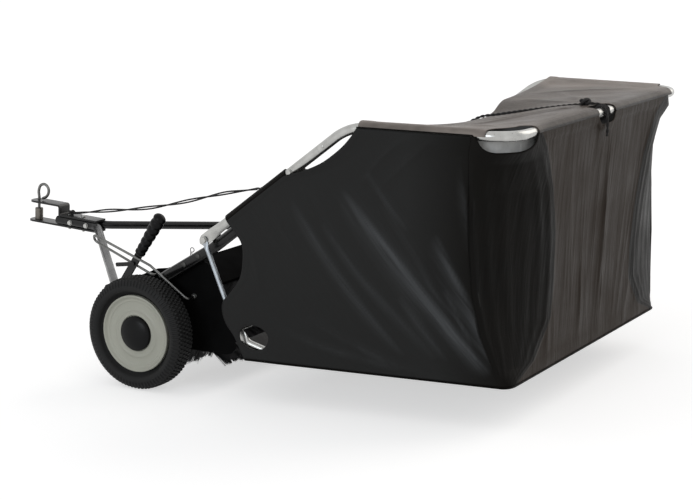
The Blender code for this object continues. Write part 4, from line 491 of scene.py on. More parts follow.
def weave_group():
    """Plain weave on the piece's own map in metres: two crossed sine waves give the thread height."""
    made, into, out = group(
        "plain weave",
        [("Vector", "NodeSocketVector", None), ("Threads", "NodeSocketFloat", 700.0)],
        [("Height", "NodeSocketFloat")],
    )
    threads = []
    for direction in ("X", "Y"):
        threads.append(node(
            made, "ShaderNodeTexWave", [("Vector", into.outputs[0]), ("Scale", into.outputs[1])],
            bands_direction=direction, wave_profile="SIN", in_Distortion=0.6, in_Detail=1.0,
        ))
    both = [(0, threads[0].outputs[1]), (1, threads[1].outputs[1])]
    height = node(made, "ShaderNodeMath", both, operation="MULTIPLY")
    made.links.new(height.outputs[0], out.inputs[0])
    return made


def crease_group():
    """Fine creases of a fabric: noise drawn out along the second way of the fold map, at two widths."""
    made, into, out = group(
        "cloth creases", [("Vector", "NodeSocketVector", None)], [("Height", "NodeSocketFloat")]
    )
    heights = []
    for scale, share in (((26, 3.2, 1), 1.0), ((85, 6.0, 1), 0.4)):
        drawn = node(made, "ShaderNodeVectorMath", [(0, into.outputs[0])], operation="MULTIPLY")
        drawn.inputs[1].default_value = scale
        noise = node(
            made, "ShaderNodeTexNoise", [("Vector", drawn.outputs[0])], in_Scale=1.0, in_Detail=3.0,
            in_Roughness=0.55
        )
        heights.append(
            node(made, "ShaderNodeMath", [(0, noise.outputs[0])], operation="MULTIPLY", in_1=share)
        )
    both = node(
        made, "ShaderNodeMath", [(0, heights[0].outputs[0]), (1, heights[1].outputs[0])], operation="ADD"
    )
    made.links.new(both.outputs[0], out.inputs[0])
    return made


GRAIN, WEAVE, CREASES = grain_group(), weave_group(), crease_group()


def finish_of(
    name, colour, roughness, metallic=0.0, spread=0.15, gloss=0.08, bump=0.1, fine=900.0, broad=14.0,
    reach=0.0002, **sockets,
):
    """A finish: colour and gloss drift with broad noise, and fine noise gives the grain.

    Base colour runs between colour x (1 - spread) and colour x (1 + spread), roughness by gloss either way.
    """
    look = bpy.data.materials.new(name)
    look.use_nodes = True
    tree = look.node_tree
    shader = tree.nodes["Principled BSDF"]
    shader.inputs["Metallic"].default_value = metallic
    for key, value in sockets.items():
        shader.inputs[key.replace("_", " ")].default_value = value
    where = node(tree, "ShaderNodeTexCoord")
    grain = node(tree, "ShaderNodeGroup", node_tree=GRAIN)
    grain.inputs["Fine"].default_value, grain.inputs["Broad"].default_value = fine, broad
    tree.links.new(where.outputs["Object"], grain.inputs["Vector"])
    tone = node(tree, "ShaderNodeValToRGB", [(0, grain.outputs["Mask"])])
    for stop, share, place in ((0, 1 - spread, 0.35), (1, 1 + spread, 0.65)):
        tone.color_ramp.elements[stop].color = (*[min(1, c * share) for c in colour], 1)
        tone.color_ramp.elements[stop].position = place
    tree.links.new(tone.outputs[0], shader.inputs["Base Color"])
    rough = node(
        tree, "ShaderNodeMapRange", [(0, grain.outputs["Mask"])], in_1=0.3, in_2=0.7, in_3=roughness - gloss,
        in_4=roughness + gloss,
    )
    tree.links.new(rough.outputs[0], shader.inputs["Roughness"])
    relief = node(
        tree, "ShaderNodeBump", [("Height", grain.outputs["Height"])], in_Strength=bump, in_Distance=reach
    )
    tree.links.new(relief.outputs[0], shader.inputs["Normal"])
    return look


def add_wear(look, colour, low=0.62, high=0.72):
    """Small spots of wear: where a second noise is high, the base colour goes over to bare colour."""
    tree = look.node_tree
    shader = tree.nodes["Principled BSDF"]
    where = node(tree, "ShaderNodeTexCoord")
    spots = node(
        tree, "ShaderNodeTexNoise", [("Vector", where.outputs["Object"])], in_Scale=55.0, in_Detail=8.0
    )
    share = node(
        tree, "ShaderNodeMapRange", [(0, spots.outputs[0])], in_1=low, in_2=high, in_3=0.0, in_4=1.0
    )
    mix = node(tree, "ShaderNodeMix", [(0, share.outputs[0])], data_type="RGBA")
    tree.links.new(shader.inputs["Base Color"].links[0].from_socket, mix.inputs[6])
    mix.inputs[7].default_value = (*colour, 1)
    tree.links.new(mix.outputs[2], shader.inputs["Base Color"])
    return look


def woven(name, colour, roughness, threads, depth, painted_sheen_colour=(0.1, 0.1, 0.1), painted_light_zones=None, **sockets):
    """A fabric: the shared grain with a plain weave on the piece's own map added to its height.

    The piece's map of painted light holds two values. The first says where a painted sheen lies along the
    folds, broken up by the creases. The second picks painted light and shade of the one cloth: 0 for the
    fabric's own colour, 0.5 for the first of the two colours and 1 for the second.
    """
    look = finish_of(
        name, colour, roughness, spread=0.22, gloss=0.07, bump=0.22, fine=260.0, broad=9.0, **sockets
    )
    tree = look.node_tree
    shader = tree.nodes["Principled BSDF"]
    where = node(tree, "ShaderNodeUVMap", uv_map="UVMap")
    weave = node(tree, "ShaderNodeGroup", node_tree=WEAVE)
    weave.inputs["Threads"].default_value = threads
    tree.links.new(where.outputs[0], weave.inputs["Vector"])
    fold = node(tree, "ShaderNodeUVMap", uv_map="folds")
    crease = node(tree, "ShaderNodeGroup", node_tree=CREASES)
    tree.links.new(fold.outputs[0], crease.inputs["Vector"])
    under = shader.inputs["Normal"].links[0].from_socket
    broad = node(
        tree, "ShaderNodeBump", [("Height", crease.outputs[0]), ("Normal", under)], in_Strength=0.7,
        in_Distance=0.0042,
    )
    crest = node(
        tree, "ShaderNodeSeparateXYZ", [(0, node(tree, "ShaderNodeUVMap", uv_map="crests").outputs[0])]
    )
    # Painted sheen: the cloth is lightened along fold crests, as light catching them would
    light = node(
        tree, "ShaderNodeMapRange", [(0, crest.outputs[0])], in_1=0.10, in_2=1.0, in_3=0.0, in_4=1.0
    )
    broken = node(
        tree, "ShaderNodeMapRange", [(0, crease.outputs[0])], in_1=0.55, in_2=0.85, in_3=0.35, in_4=1.2
    )
    painted_sheen = node(
        tree, "ShaderNodeMath", [(0, light.outputs[0]), (1, broken.outputs[0])], operation="MULTIPLY"
    )
    # Painted light and shade: lighter or darker copies of the cloth's colour, by how each part faces the
    # light
    light_zone = [(0, crest.outputs[1])]
    first = node(tree, "ShaderNodeMapRange", light_zone, in_1=0.0, in_2=0.5, in_3=0.0, in_4=1.0)
    second = node(tree, "ShaderNodeMapRange", light_zone, in_1=0.5, in_2=1.0, in_3=0.0, in_4=1.0)
    painted_light_zones = painted_light_zones or (colour, colour)
    for share, shade in ((first, painted_light_zones[0]), (second, painted_light_zones[1]), (painted_sheen, painted_sheen_colour)):
        tone = node(tree, "ShaderNodeMix", [(0, share.outputs[0])], data_type="RGBA")
        tree.links.new(shader.inputs["Base Color"].links[0].from_socket, tone.inputs[6])
        tone.inputs[7].default_value = (*shade, 1)
        tree.links.new(tone.outputs[2], shader.inputs["Base Color"])
    relief = node(
        tree, "ShaderNodeBump", [("Height", weave.outputs[0]), ("Normal", broad.outputs[0])],
        in_Strength=0.3, in_Distance=depth,
    )
    tree.links.new(relief.outputs[0], shader.inputs["Normal"])
    return look


black_steel = add_wear(
    finish_of(
        "black painted steel", (0.007, 0.007, 0.007), 0.28, bump=0.12, fine=420.0, Specular_IOR_Level=0.32,
    ),
    (0.022, 0.020, 0.018),
)
# Painted shade: plates and hood are the tubes' black paint, in copies with their reflection almost or wholly
# taken away and the plates darker, for the shade behind the wheels and under the bag
plate_paint_shaded = finish_of(
    "black paint, shaded copy for the plates", (0.005, 0.005, 0.005), 0.40, bump=0.12, fine=420.0, Specular_IOR_Level=0.012
)
hood_paint_shaded = finish_of(
    "black paint, shaded copy for the hood", (0.010, 0.010, 0.010), 0.40, bump=0.12, fine=420.0, Specular_IOR_Level=0.0
)
zinc = finish_of(
    "bright zinc", (0.43, 0.43, 0.415), 0.30, 1.0, spread=0.12, gloss=0.08, bump=0.12, fine=700.0, broad=30.0
)
dull_zinc = finish_of(
    "dull zinc", (0.06, 0.06, 0.057), 0.5, 0.8, spread=0.2, bump=0.15, fine=700.0, broad=30.0
)
grey_zinc = finish_of(
    "grey zinc", (0.15, 0.15, 0.145), 0.34, 1.0, spread=0.15, bump=0.15, fine=700.0, broad=30.0
)
blue_zinc = finish_of(
    "blue zinc", (0.36, 0.39, 0.42), 0.38, 1.0, spread=0.12, bump=0.12, fine=700.0, broad=30.0
)
brown_steel = finish_of(
    "bare grey-brown steel", (0.17, 0.155, 0.135), 0.48, 0.6, spread=0.25, bump=0.2, fine=500.0
)
black_plastic = finish_of(
    "black moulded plastic", (0.0035, 0.0035, 0.0038), 0.34, bump=0.2, fine=800.0, reach=0.0003,
    Specular_IOR_Level=0.13,
)
off_white = finish_of(
    "off-white moulded plastic", (0.43, 0.43, 0.365), 0.5, spread=0.05, bump=0.06, fine=300.0, broad=8.0
)
rubber = finish_of(
    "black rubber", (0.0095, 0.0095, 0.0095), 0.62, spread=0.3, gloss=0.1, bump=0.35, fine=650.0,
    reach=0.0004, Specular_IOR_Level=0.22,
)
bristle_black = finish_of(
    "black bristle", (0.010, 0.010, 0.011), 0.45, spread=0.3, bump=0.05, Specular_IOR_Level=0.3
)
# Painted light and shade: the own colour is painted shade on the corner facets, the two other colours paint
# the side lighter and the rear lighter and browner, and the crest colour is a painted sheen along folds
bag_fabric = woven(
    "black coated fabric", (0.0038, 0.0032, 0.0024), 0.42, 520.0, 0.00025, (0.076, 0.079, 0.082),
    ((0.0255, 0.0255, 0.0250), (0.0300, 0.0225, 0.0170)), Specular_IOR_Level=0.05,
)
# Painted light: the top cloth is lighter than the sides for the light grazing it; its crest colour is a
# painted highlight on the rolls over the tubes, its first other colour the painted shade of the roll over
# the rear tube, its second the dark seam
bag_top_fabric = woven(
    "black coated fabric, painted lighter on top", (0.062, 0.052, 0.044), 0.45, 520.0, 0.00025, (0.31, 0.27, 0.242),
    ((0.030, 0.0225, 0.017), (0.002, 0.002, 0.002)),
    Specular_IOR_Level=0.20, Sheen_Weight=0.12, Sheen_Roughness=0.35, Sheen_Tint=(0.90, 0.74, 0.64, 1),
)
bag_lining = woven("grey inner coating", (0.075, 0.075, 0.074), 0.7, 520.0, 0.0003, Specular_IOR_Level=0.3)
# Painted light: the inner coating, painted much lighter for the light falling in at the corner
corner_painted_light = woven("inner coating painted light at the corner", (0.56, 0.56, 0.55), 0.7, 520.0, 0.0003, Specular_IOR_Level=0.3)
rope_black = finish_of(
    "black rope", (0.014, 0.013, 0.013), 0.85, spread=0.35, bump=0.5, fine=1500.0, reach=0.0005
)

LOOKS = {
    "black_steel": black_steel, "zinc": zinc, "brown_steel": brown_steel, "black_plastic": black_plastic,
    "off_white": off_white, "tyre": rubber, "bristle": bristle_black, "bag_fabric": bag_fabric,
    "rope": rope_black,
}


# Rope

def twisted(path, pitch, thick, opening=None):
    """Two strands laid round a path, opposite each other: each is at a distance h, turned by 2 pi s / pitch.

    A strand is as thick as that share of the rope. h is the rope's radius less the strand's, plus an opening
    where the lay is loose.
    """
    run = run_of(path)
    wide_way, deep_way = ways(path, (1, 0, 0))
    strand_r = thick * ROPE_R
    apart = np.full(len(run), ROPE_R - strand_r) + (0 if opening is None else opening(path))
    grids = []
    for half_turn in (0, 0.5):
        turn = 2 * math.pi * (run / pitch + half_turn)
        wide, deep = (apart * np.cos(turn))[:, None], (apart * np.sin(turn))[:, None]
        grids.append(rod(path + wide * wide_way + deep * deep_way, strand_r, sides=9, spacing=1.0))
    return grids


def knot(centre, size, strand_r, tilt=0.0):
    """An overhand knot: ((2 + cos 3t) cos 2t, (2 + cos 3t) sin 2t, sin 3t), scaled and tipped."""
    t = np.linspace(0, 2 * math.pi, 91)
    line = np.column_stack(
        [(2 + np.cos(3 * t)) * np.cos(2 * t), (2 + np.cos(3 * t)) * np.sin(2 * t), 1.3 * np.sin(3 * t)]
    )
    c, s = math.cos(tilt), math.sin(tilt)
    line = line @ np.array([[1, 0, 0], [0, c, s], [0, -s, c]]) * size / 3 + centre
    a = ring_angles(10)[None]
    step = unit(np.roll(line[:-1], -1, axis=0) - np.roll(line[:-1], 1, axis=0))
    step = np.vstack([step, step[:1]])
    deep = unit(np.cross(step, (0.3, 0.2, 1.0)))
    wide = np.cross(deep, step)
    return line[:, None] + strand_r * (
        np.cos(a)[..., None] * wide[:, None] + np.sin(a)[..., None] * deep[:, None]
    )


def tighter(x):
    """How much tighter the right half of the top panel is drawn: 0 at the rope and 1 from x -0.17 on."""
    part = np.clip((-x - 0.01) / 0.16, 0, 1)
    return part * part * (3 - 2 * part)


def top_skin_z(x, y):
    """Top panel: level over the tubes, with a sag of depth x (1 - (x / half)^2) x ahead^1.2 to its front."""
    ahead = np.clip((1.0393 - y) / (1.0393 - 0.715), 0, 1)
    return BAG_TOP - (0.055 - 0.029 * tighter(x)) * np.maximum(0, 1 - (x / BAG_HALF_WIDTH) ** 2) * ahead**1.2


def rope_routes():
    """The front run from the hitch to the hood, and the rear run up to the rear tube, round it and down."""
    front = [  # (y, z) places of the front run
        (-0.7036, 0.3112), (-0.6885, 0.3122), (-0.6720, 0.3152), (-0.6563, 0.3172), (-0.6250, 0.3220),
        (-0.5600, 0.3320), (-0.4800, 0.3430), (-0.4010, 0.3560), (-0.3200, 0.3740), (-0.2530, 0.3910),
        (-0.1800, 0.4110), (-0.1160, 0.4270), (-0.0550, 0.4390), (-0.0110, 0.4480),
    ]
    rear = [
        (-0.0107, 0.44806), (0.06, 0.4640), (0.15, 0.4880), (0.26, 0.5200), (0.38, 0.5590), (0.50, 0.6060),
        (0.60, 0.6540), (0.67, 0.6900), (0.71, 0.7085),
    ]
    rear += [
        (y, float(top_skin_z(0, y)) + ROPE_R + 0.0012) for y in (0.745, 0.80, 0.86, 0.92, 0.97, 1.01, 1.03)
    ]
    part = np.linspace(0, 1, round(24 * ROPE_TURNS) + 1)
    angle, radius = math.pi / 2 - 2 * math.pi * ROPE_TURNS * part, TUBE_R + GAP + ROPE_R
    turns = np.column_stack([
        ROPE_PITCH * ROPE_TURNS * part, TOP_REAR_Y + radius * np.cos(angle), TOP_Z + radius * np.sin(angle),
    ])
    tail_x, tail_y = turns[-1][0], 1.072 + ROPE_R + GAP
    tail = [turns[-1], (tail_x, tail_y, 0.724), (tail_x, tail_y + 0.0005, 0.706), (tail_x, tail_y, 0.682)]
    lead = smooth_through([*at_x(0, rear), turns[0]], 0.024)
    rear_run = np.vstack([lead, turns[1:], smooth_through(tail, 0.015)[1:]])
    return smooth_through(at_x(0, front), 0.024), rear_run


def loose_lay(path):
    """The strands of the front run lie loosely side by side, and close up over the hitch and the hood."""
    y = path[:, 1]
    return 0.0021 - 0.0021 * np.exp(-((y + 0.70) / 0.06) ** 2) - 0.0016 * np.exp(-((y + 0.05) / 0.05) ** 2)


def ropes():
    """Both runs as twisted strands, and their knots."""
    routes = rope_routes()
    fine = [smooth_through(route, 0.004) for route in routes]
    strands = twisted(fine[0], 0.30, 0.62, loose_lay), twisted(fine[1], 0.032, 0.52)
    front = piece("rope_front_twist", strands[0], rope_black, None, ["rope_front"])
    rear = piece("rope_rear_twist", strands[1], rope_black, None, ["rope_rear"])
    hitch_knot = piece(
        "rope_knot_hitch", [knot((0, -0.7036, 0.3135), 0.0085, 0.0034)], rope_black, "tongue"
    )
    top_knot = piece(
        "rope_knot_top", [knot((0.001, 1.004, 0.7655), 0.0125, 0.0039, 0.2)], rope_black, "hopper",
        sharp=60,
    )
    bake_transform(front)
    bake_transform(rear)


# Bag

FRONT_EDGE = [  # (y, z) from the foot up to the sleeve
    (0.321, BAG_FOOT), (0.304, 0.148), (0.289, 0.176), (0.265, 0.205), (0.254, 0.236), (0.256, 0.262),
    (0.277, 0.286), (0.311, 0.330), (0.321, 0.376), (0.319, 0.420), (0.298, 0.449), (0.2712, 0.4759),
]
# From the sleeve's upper end to the top frame
FREE_EDGE = [
    (0.462, 0.6130), (0.484, 0.6190), (0.515, 0.630), (0.560, 0.652), (0.609, 0.689), (0.638, 0.720),
    (0.653, TOP_Z),
]
# The lower tube's side in plan, as (x, y)
LOWER_LINE = np.array([(0.570, 0.289), (0.570, 0.322), (0.560, 0.420), (LOWER_REAR_X, LOWER_REAR_Y)])
SIDE_FOLDS = [  # places as (y, z) from the upper end down, width, height, strength of its painted sheen
    (
        [(0.465, 0.560), (0.491, 0.522), (0.560, 0.430), (0.640, 0.323), (0.720, 0.225), (0.770, 0.170)],
        0.018, 0.0090, 0.62,
    ),
    ([(0.610, 0.590), (0.646, 0.550), (0.769, 0.415), (0.891, 0.262), (0.990, 0.145)], 0.026, 0.0170, 1.25),
    ([(0.560, 0.500), (0.640, 0.400), (0.740, 0.290), (0.850, 0.170)], 0.016, 0.0065, 0.42),
    ([(0.860, 0.500), (0.894, 0.423), (0.950, 0.300), (1.000, 0.160)], 0.028, 0.0120, 0.80),
    ([(0.925, 0.690), (0.934, 0.623), (0.946, 0.524), (0.972, 0.400)], 0.022, 0.0080, 0.30),
    ([(0.420, 0.215), (0.474, 0.194), (0.600, 0.165), (0.760, 0.135)], 0.013, 0.0060, 0.26),
    ([(0.500, 0.250), (0.600, 0.205), (0.720, 0.150)], 0.012, 0.0050, 0.22),
    ([(0.660, 0.600), (0.690, 0.640), (0.735, 0.690), (0.800, 0.735)], 0.012, 0.0050, 0.16),
    ([(0.720, 0.600), (0.800, 0.680), (0.870, 0.735)], 0.013, 0.0045, 0.14),
    ([(0.330, 0.455), (0.360, 0.380), (0.380, 0.300)], 0.014, 0.0035, 0.0),
    ([(0.720, 0.560), (0.800, 0.450), (0.860, 0.340), (0.930, 0.210)], 0.016, 0.0060, 0.30),
    ([(0.500, 0.590), (0.540, 0.530), (0.600, 0.450)], 0.010, 0.0045, 0.14),
    ([(0.680, 0.640), (0.740, 0.560), (0.800, 0.490)], 0.011, 0.0055, 0.34),
    ([(0.420, 0.520), (0.450, 0.470), (0.500, 0.400)], 0.011, 0.0035, 0.10),
    ([(0.760, 0.330), (0.820, 0.250), (0.880, 0.170)], 0.012, 0.0055, 0.30),
    ([(0.960, 0.640), (0.968, 0.560), (0.980, 0.480)], 0.010, 0.0050, 0.12),
    ([(0.880, 0.360), (0.925, 0.260), (0.965, 0.160)], 0.012, 0.0055, 0.35),
    ([(0.640, 0.190), (0.740, 0.150), (0.820, 0.128)], 0.010, 0.0040, 0.20),
]
CORNER_FOLDS = [  # share of the corner at the top, at the foot, width in shares, height
    (0.10, 0.18, 0.030, 0.0060), (0.26, 0.34, 0.025, 0.0035), (0.42, 0.47, 0.025, 0.0040),
    (0.60, 0.58, 0.025, 0.0030), (0.74, 0.70, 0.022, 0.0045), (0.88, 0.84, 0.025, 0.0040),
]
REAR_PLEATS, REAR_PLEAT_SPREAD = 44, (0.004, 0.0105)
REAR_FOLDS = ((0.40, 0.26, 0.018, 0.006), (-0.37, -0.24, 0.020, 0.007), (-0.47, -0.36, 0.014, 0.006))
TOP_FOLDS = [  # from x, y to x, y, width, height
    (0.02, 1.00, 0.30, 0.78, 0.016, 0.004), (-0.02, 1.00, -0.30, 0.80, 0.016, 0.004),
    (0.05, 0.98, 0.14, 0.74, 0.013, 0.003), (0.44, 0.97, 0.30, 0.74, 0.018, 0.003),
    (-0.44, 0.97, -0.28, 0.74, 0.018, 0.004), (-0.06, 0.97, -0.16, 0.75, 0.013, 0.003),
]
SKIRT_ROWS, SIDE_COLS = 110, 105
# Both corners by height: where the side ends and the rear starts, and how sharp the turn between them is
CORNER_HEIGHTS = (BAG_FOOT, 0.130, 0.158, 0.250, 0.352, 0.473, 0.592, 0.700, TOP_Z)
CORNER_SIDE = {
    1: (0.030, 0.032, 0.040, 0.075, 0.095, 0.105, 0.112, 0.122, 0.118),
    -1: (0.030, 0.026, 0.022, 0.032, 0.046, 0.064, 0.095, 0.130, 0.118),
}
CORNER_REAR = {
    1: (0.035, 0.060, 0.145, 0.245, 0.262, 0.262, 0.232, 0.180, 0.140),
    -1: (0.035, 0.060, 0.145, 0.245, 0.262, 0.262, 0.250, 0.205, 0.150),
}
CORNER_WEIGHT = {
    1: (0.95, 0.80, 0.40, 0.28, 0.26, 0.28, 0.30, 0.42, 0.60),
    -1: (0.95, 0.80, 0.40, 0.28, 0.26, 0.28, 0.34, 0.40, 0.58),
}
# Cut-outs: the oval's y, z, half length and its reach down and up, the bare bends' x and depth, and the
# rope's x and reach
OVAL = (0.350, 0.180, 0.042, 0.035, 0.030)
REAR_CUT = (0.445, 0.092)
ROPE_CUT = (0.010, 0.055)


def rear_skin_y(z):
    """Rear panel: a straight slope between the tubes, drawn in by up to 7 mm half way up."""
    share = np.clip((z - LOWER_Z) / (TOP_Z - LOWER_Z), 0, 1)
    return 1.0328 + 0.0392 * (z - LOWER_Z) / (TOP_Z - LOWER_Z) - 0.007 * np.sin(math.pi * share)


def side_skin_x(y, z):
    """Side panel: straight from the lower tube to the upper one, with a slight swell in its middle."""
    low = np.interp(y, LOWER_LINE[:, 1], LOWER_LINE[:, 0]) + LOWER_R + 0.007
    top = np.interp(y, (0.6255, TOP_REAR_Y), (SIDE_TUBE_X, TOP_REAR_X)) + TUBE_R + 0.004
    share = (z - LOWER_Z) / (TOP_Z - LOWER_Z)
    swell = np.sin(math.pi * np.clip(share, 0, 1)) * np.sin(math.pi * np.clip((y - 0.26) / 0.79, 0, 1))
    return low + (top - low) * share + 0.012 * swell


def ridge(y, z, places, width, height, steep=0.35):
    """A fold along a line of places, fading out towards both ends.

    Its height falls off as exp(-d / width), where d is sqrt(distance^2 + 0.003^2) - 0.003, so its crest is
    rounded. On the side that lies left of the line the width is smaller by the steep share.
    """
    line = smooth_through(places, 0.02)
    start, step = line[:-1], np.diff(line, axis=0)
    spots = np.stack(np.broadcast_arrays(y, z), axis=-1)[..., None, :] - start
    along = np.clip(np.sum(spots * step, axis=-1) / np.sum(step * step, axis=-1), 0, 1)
    away = spots - along[..., None] * step
    distance = np.linalg.norm(away, axis=-1)
    nearest = np.argmin(distance, axis=-1)[..., None]
    share = (nearest + np.take_along_axis(along, nearest, -1))[..., 0] / len(step)
    fade = np.clip(np.sin(math.pi * np.clip(share, 0, 1)), 0, 1) ** 0.6
    hand = np.take_along_axis(step[:, 0] * away[..., 1] - step[:, 1] * away[..., 0], nearest, -1)[..., 0]
    crest = np.sqrt(distance.min(axis=-1) ** 2 + 0.003**2) - 0.003
    return height * np.exp(-crest / np.where(hand > 0, steep * width, width)) * fade


def waves(a, b, seed, count=7, low=6.0, high=26.0):
    """Slight unevenness of the cloth: a sum of sine waves, each with a seeded direction and frequency."""
    chance = np.random.default_rng(seed)
    total = np.zeros(np.broadcast_shapes(np.shape(a), np.shape(b)))
    for _ in range(count):
        frequency, way = chance.uniform(low, high), chance.uniform(0, math.pi)
        phase = chance.uniform(0, 2 * math.pi)
        total += np.sin(frequency * (a * math.cos(way) + b * math.sin(way)) + phase) / frequency
    return total


def top_dip(x):
    """How far the cloth's upper edge dips below the rear tube, which is bare in its middle."""
    part = np.clip(np.abs(x - ROPE_CUT[0]) / ROPE_CUT[1], 0, 1)
    return 0.027 * (1 - part**4) ** 0.5


def conic(start, corner, end, weight, s):
    """Places of a conic from start to end that leans towards the corner, the more the higher its weight.

    They are (start (1 - s)^2 + 2 corner w s (1 - s) + end s^2) / ((1 - s)^2 + 2 w s (1 - s) + s^2).
    """
    a, b, c = ((1 - s) ** 2)[..., None], (2 * weight * s * (1 - s))[..., None], (s**2)[..., None]
    return (a * start + b * corner + c * end) / (a + b + c)


def corner_relief(bend, tau, share):
    """A corner's folds, which run down it with their own slant, and its places pushed out by them."""
    out = unit(np.stack([-np.gradient(bend[..., 1], axis=1), np.gradient(bend[..., 0], axis=1)], axis=-1))
    out = out * np.sign(out[..., :1] + out[..., 1:] + 1e-9)
    fold = 0 * (tau + share[:, None])
    for top, foot, width, height in CORNER_FOLDS:
        middle = foot + (top - foot) * share[:, None]
        fold = fold + height * np.exp(-np.abs(tau - middle) / width)
    fold = fold * (np.clip(np.sin(math.pi * share), 0, 1) ** 0.7)[:, None]
    fold = fold * np.clip(np.minimum(tau, 1 - tau) / 0.06, 0, 1)
    return fold, bend + out * fold[..., None]


def skirt_side(edge, out):
    """One side of the bag and its corner, from the front edge to where the rear panel starts.

    A row joins its place on the front edge to the corner in a straight line, then turns the corner as a
    conic from the side's end to the rear's start, whose low weight makes it a slanting facet. Folds push it
    outwards. With the places come its map of painted light, where its rear starts, and each row's height and
    share of the height. That map holds a painted sheen along the folds and a painted shade that darkens the
    side towards the corner and the facet most.
    """
    run = run_of(edge)
    t = np.linspace(0, 1, SKIRT_ROWS)
    front_y, front_z = (np.interp(t * run[-1], run, edge[:, k]) for k in range(2))
    lift = (np.maximum.accumulate(front_z) - front_z[0]) / (front_z.max() - front_z[0])
    rear_z = BAG_FOOT + (TOP_Z - BAG_FOOT) * (0.8 * lift + 0.2 * t)
    share = (rear_z - BAG_FOOT) / (TOP_Z - BAG_FOOT)
    tables = CORNER_SIDE[out], CORNER_REAR[out], CORNER_WEIGHT[out]
    turn_side, turn_rear, weight = (np.interp(rear_z, CORNER_HEIGHTS, row) for row in tables)
    rear_y = rear_skin_y(rear_z)
    corner_x, side_end = side_skin_x(rear_y, rear_z), rear_y - turn_side
    # The side, from its front edge to its end
    cols = np.concatenate([np.linspace(0, 0.2, 30)[:-1], np.linspace(0.2, 1, SIDE_COLS - 29)])[None]
    length = (side_end - front_y)[:, None]
    y = front_y[:, None] + length * cols
    z = front_z[:, None] + (rear_z - front_z)[:, None] * cols
    x = side_skin_x(y, z)
    fold, light = 0.014 * waves(y, z, 3 if out > 0 else 4), 0 * y
    # Painted sheen: a fold with a strength gets a lighter band along its crest
    for places, width, height, lit in SIDE_FOLDS:
        fold = fold + ridge(y, z, places, width, height)
        light = light + (ridge(y, z, places, width, lit, 0.20) if lit else 0)
    calm = np.clip(cols * length / 0.05, 0, 1) * np.clip((TOP_Z - z) / 0.03, 0, 1)
    calm = calm * np.clip((z - 0.118) / 0.02, 0, 1)
    hem = 0.0008 * (cols * length < 0.018)
    side = np.stack([x + fold * calm + hem, y, z], axis=-1)
    # Painted shade: the side is lighter away from the corner and darker towards it
    light_zone = 0.5 - 0.40 * np.clip((y - side_end[:, None] + 0.16) / 0.16, 0, 1)
    # The corner, from the side's end to the rear's start
    tau = np.linspace(0, 1, 34)[1:][None]
    places = [np.stack(pair, axis=-1)[:, None] for pair in (
        (x[:, -1], y[:, -1]), (corner_x, rear_y), (corner_x - turn_rear, rear_y),
    )]
    fold, bend = corner_relief(conic(*places, weight[:, None], tau), tau, share)
    bend = np.concatenate([bend, (rear_z[:, None] + 0 * tau)[..., None]], axis=-1)
    # Painted sheen along the corner's folds; the facet keeps the cloth's darkest own colour, a painted shade
    light = np.concatenate([light, fold / 0.030], axis=1)
    light_zone = np.concatenate([light_zone, 0.10 * (1 - tau) ** 2 + 0 * fold], axis=1)
    sheet = np.concatenate([side, bend], axis=1) * (out, 1, 1)
    return sheet, np.stack([light, light_zone], axis=-1), corner_x - turn_rear, rear_z, share


def rear_folds(x, share):
    """Pleats of the rear panel: seeded crests down from the rear tube, each with its slant and height."""
    chance = np.random.default_rng(8)
    fold = 0 * x
    for _ in range(REAR_PLEATS):
        top, slant = chance.uniform(-0.50, 0.50), chance.normal(0, 0.03)
        height, width = chance.uniform(0.0008, 0.0028), chance.uniform(*REAR_PLEAT_SPREAD)
        low, high = chance.uniform(-0.4, 0.35), chance.uniform(0.55, 1.4)
        middle = top * (0.72 + 0.28 * share[:, None]) + slant * (1 - share[:, None])
        reach = np.clip(np.minimum(share - low, high - share) / 0.25, 0, 1)[:, None]
        fold = fold + height * reach * np.exp(-np.abs(x - middle) / width)
    for top, foot, width, height in REAR_FOLDS:
        fold = fold + height * np.exp(-np.abs(x - (foot + (top - foot) * share[:, None])) / width)
    return fold


